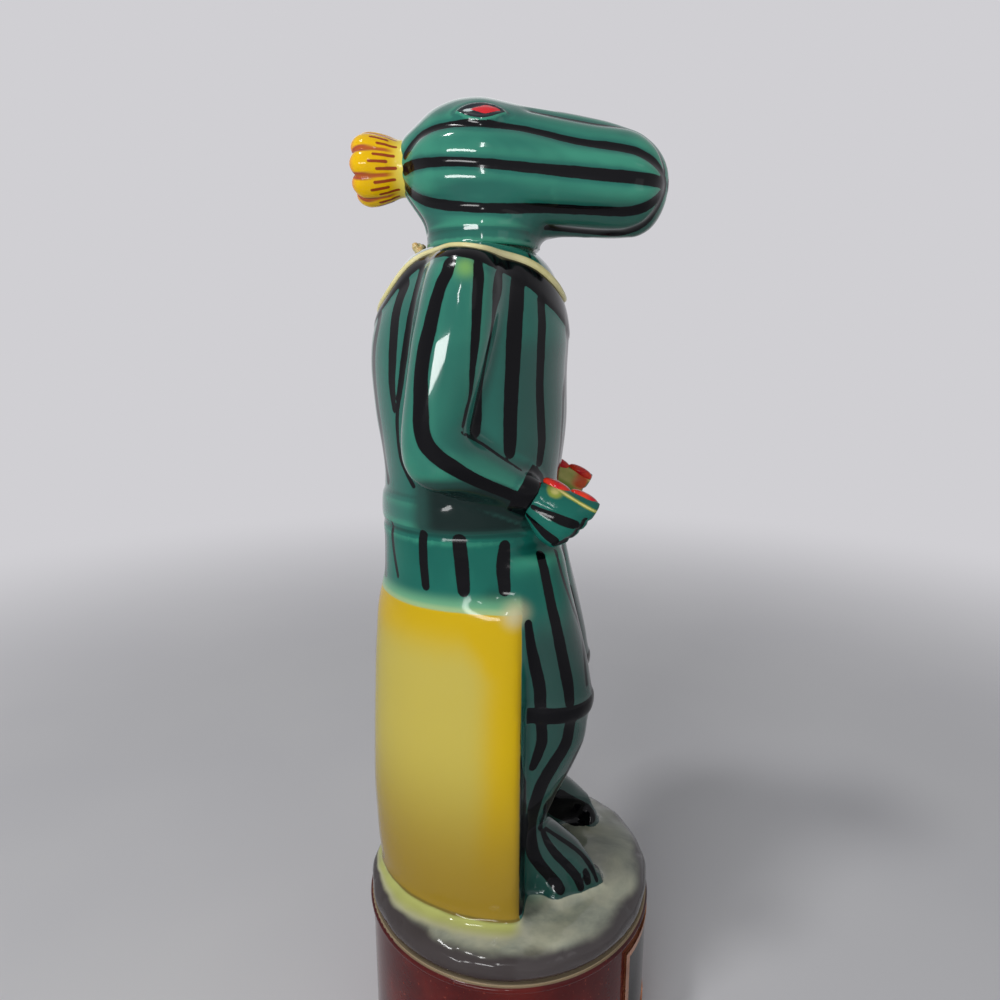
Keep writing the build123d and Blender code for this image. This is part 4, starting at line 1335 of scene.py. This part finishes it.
def make_pods():
    rings, sides = 20, 28
    glaze = pod_glaze()
    for name in ("right_near_pod", "right_far_pod", "left_near_pod", "left_far_pod"):
        low, high = (np.array(corner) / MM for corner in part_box(name))
        middle, half = (low + high) / 2, (high - low) / 2
        # Each lies as the palm slopes, and a little sunk into it
        length, wide, thick, sunk = half[0] * 1.28, 2.5, 1.9, 0.7
        points, painted_sheen = [], []
        for ring in range(rings + 1):
            share = ring / rings
            turn = pi * share
            reach = -cos(turn) * length
            girth = sin(turn) ** 0.8 * (1 - 0.12 * cos(turn))
            for step in range(sides):
                round_it = 2 * pi * step / sides
                seam = 1 - 0.1 * np.exp(-(((round_it - pi / 2) / 0.35) ** 2))
                a, b = wide * girth * seam * cos(round_it), thick * girth * seam * sin(round_it)
                points.append(
                    (
                        middle[0] + reach * cos(HAND_SLOPE) + b * sin(HAND_SLOPE),
                        middle[1] + a,
                        middle[2] - sunk - reach * sin(HAND_SLOPE) + b * cos(HAND_SLOPE),
                    )
                )
                # The last stretch of each pod carries a painted sheen
                painted_sheen.append(max(0.0, share - 0.86) / 0.14)
        piece = piece_from(name + "_red", points, ring_faces(rings + 1, sides))
        keep_values(piece, {"rim": painted_sheen})
        close_poles(piece)
        piece.data.materials.append(glaze)
        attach(piece, "decanter")
        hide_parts(name)


def close_poles(piece):
    """Merges the points of a collapsed ring and turns the faces outward."""
    bm = bmesh.new()
    bm.from_mesh(piece.data)
    bmesh.ops.remove_doubles(bm, verts=bm.verts, dist=0.000005)
    bmesh.ops.recalc_face_normals(bm, faces=bm.faces)
    bm.to_mesh(piece.data)
    bm.free()


def make_blossom():
    """A trumpet that opens into eight rounded petals round a shallow cup."""
    base_x, lobe_x, tip_x = -31.5, -43.6, -48.2
    middle_z = 297.3
    petals = 8
    rings_out, rings_over, rings_cup, sides = 26, 20, 10, 192
    rings = rings_out + rings_over + rings_cup + 1
    points, values = [], {"along": [], "lobe": [], "cup": [], "dashes": []}
    for ring in range(rings):
        for step in range(sides):
            turn = 2 * pi * step / sides
            phase = (petals * turn / (2 * pi) + 0.5) % 1.0 - 0.5
            lobe = cos(pi * phase) ** 2
            bulge = abs(cos(pi * phase)) ** 0.8
            outer = 6.6 + 4.25 * (0.78 + 0.22 * bulge)
            inner = 3.4 + 0.5 * (1 - bulge)
            if ring <= rings_out:
                share = ring / rings_out
                flare = share * share * (3 - 2 * share)
                girth = 8.3 - 0.35 * sin(pi * min(1.0, share * 2.2)) + (outer - 8.3) * flare
                x = base_x + (lobe_x - base_x) * share
                along, cup = share * 0.8, 0.0
            elif ring <= rings_out + rings_over:
                share = (ring - rings_out) / rings_over
                swing = pi * share
                girth = (outer + inner) / 2 + (outer - inner) / 2 * cos(swing)
                x = lobe_x - (lobe_x - tip_x) * sin(swing) * (0.7 + 0.3 * bulge)
                along, cup = 0.8 + 0.2 * min(1.0, share * 2), max(0.0, share - 0.6) / 0.4
            else:
                share = (ring - rings_out - rings_over) / rings_cup
                girth = inner * (1 - share)
                x = lobe_x - 0.4 * sin(pi * share)
                along, cup = 1.0, 1.0
            points.append((x, girth * sin(turn), middle_z + girth * cos(turn)))
            # Three rows of short painted dashes on each petal
            best = 4.0
            for offset, low, high in ((-0.26, 0.16, 0.52), (0.0, 0.34, 0.66), (0.26, 0.2, 0.58)):
                sideways = abs(phase - offset) * 2 * pi * max(girth, 1) / petals
                lengthways = max(low - along, along - high, 0.0) * 15.0
                best = min(best, np.hypot(sideways, lengthways) - 0.34)
            for name, value in (("along", along), ("lobe", lobe), ("cup", cup), ("dashes", best)):
                values[name].append(value)
    faces = [(a, d, c, b) for a, b, c, d in ring_faces(rings, sides)]
    faces.append(tuple(range(sides)))
    piece = piece_from("squash_blossom", points, faces)
    keep_values(piece, values)
    close_poles(piece)
    piece.data.materials.append(blossom_glaze())
    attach(piece, "head")
    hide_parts("head_blossom")


def make_knot():
    """The cord's knot at the nape: a loop that passes over and under itself."""
    low, high = (np.array(corner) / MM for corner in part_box("shoulder_knot"))
    middle = (low + high) / 2
    # A little behind and under the solid, so that the turned head clears it
    back, rise = 0.6, 1.15
    path = []
    for share in np.linspace(0, 1, 90, endpoint=False):
        turn = 2 * pi * share
        path.append(
            (
                middle[0] - back + 0.9 * sin(2 * turn),
                middle[1] + 2.5 * cos(turn) * (1 + 0.25 * cos(3 * turn)),
                low[2] + rise + 0.95 * sin(3 * turn),
            )
        )
    path = np.array(path)
    sides, girth = 14, 0.95
    points = []
    count = len(path)
    for index in range(count):
        forward = path[(index + 1) % count] - path[index - 1]
        forward /= np.linalg.norm(forward)
        side = np.cross(forward, (0, 0, 1.0))
        side /= np.linalg.norm(side)
        above = np.cross(side, forward)
        for step in range(sides):
            turn = 2 * pi * step / sides
            size = girth * (1 + 0.1 * sin(turn * 3 + index * 0.5))
            points.append(path[index] + size * (cos(turn) * side + sin(turn) * above))
    piece = piece_from("nape_knot", points, ring_faces(count, sides, joined=True))
    close_poles(piece)
    piece.data.materials.append(knot_glaze())
    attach(piece, "decanter")
    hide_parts("shoulder_knot")


def dress_cad_nodes():
    finishes = {
        "drum_shell": base_glaze(),
        "name_plate": plate_enamel(),
        "plate_frame": plate_brass(),
        "cork_sleeve": cork_grain(),
        "stopper_core": core_plastic(),
    }
    for node, material in finishes.items():
        for slot in bpy.data.objects[node].material_slots:
            slot.material = material


def make_floor():
    """A pale floor that fades into the backdrop's colour with distance, so that no edge shows."""
    bm = bmesh.new()
    bmesh.ops.create_circle(bm, cap_ends=True, segments=96, radius=6.0)
    mesh = bpy.data.meshes.new("floor")
    bm.to_mesh(mesh)
    bm.free()
    floor = place("floor", mesh)
    finish = Finish("floor_pale", roughness=0.8, coat=0.0)
    drift = finish.cloud(6.0, 2.0)
    finish.paint(drift.step(0.3, 0.7).mix(tone(232, 231, 234), tone(227, 226, 230)))
    distance = finish.wire.node("ShaderNodeVectorMath", {"operation": "LENGTH"}, {0: finish.place}, 1)
    far = distance.step(0.25, 0.9)
    glow = finish.wire.node("ShaderNodeEmission", None, {"Color": BACKDROP})
    shader = Wire(finish.tree, finish.shader.outputs[0])
    blend = finish.wire.node("ShaderNodeMixShader", None, {0: far, 1: shader, 2: glow})
    finish.tree.links.new(blend.socket, finish.tree.nodes["Material Output"].inputs["Surface"])
    floor.data.materials.append(finish.material)


def light_scene():
    scene = bpy.context.scene
    scene.view_settings.view_transform = "Standard"
    world = bpy.data.worlds.new("studio")
    scene.world = world
    world.use_nodes = True
    wire = Wire(world.node_tree)
    soft = wire.node("ShaderNodeBackground", None, {"Color": (0.80, 0.82, 0.84, 1.0), "Strength": 0.22})
    backdrop = wire.node("ShaderNodeBackground", None, {"Color": BACKDROP, "Strength": 1.0})
    # The camera and mirror-like reflections see the backdrop; all else gets the soft light
    camera, glossy, through = (
        wire.node("ShaderNodeLightPath", output="Is " + ray + " Ray")
        for ray in ("Camera", "Glossy", "Transmission")
    )
    seen = wire.maths("MAXIMUM", wire.maths("MAXIMUM", camera, glossy), through)
    blend = wire.node("ShaderNodeMixShader", None, {0: seen, 1: soft, 2: backdrop})
    world.node_tree.links.new(blend.socket, world.node_tree.nodes["World Output"].inputs["Surface"])
    target = (0.0, 0.0, 0.17)
    soft_lamp("lamp_left", (-0.355, -1.09, 0.29), (-0.015, -0.045, 0.24), (0.56, 0.17), 6.6)
    soft_lamp("lamp_head", (0.06, -1.08, 0.73), (0.0, 0.0, 0.29), (0.05, 0.26), 1.1)
    soft_lamp("lamp_over", (-0.35, -0.3, 1.0), target, (0.12, 0.12), 2.2)
    soft_lamp("lamp_front", (0.9, -0.9, 0.7), target, (0.5, 0.5), 0.4)
    soft_lamp("lamp_behind", (-0.4, 1.1, 0.9), target, (0.9, 0.9), 1.0)


place_camera()
light_scene()
make_floor()
dress_cad_nodes()
make_cord(make_figure())
make_head()
make_hands()
make_pods()
make_blossom()
make_knot()
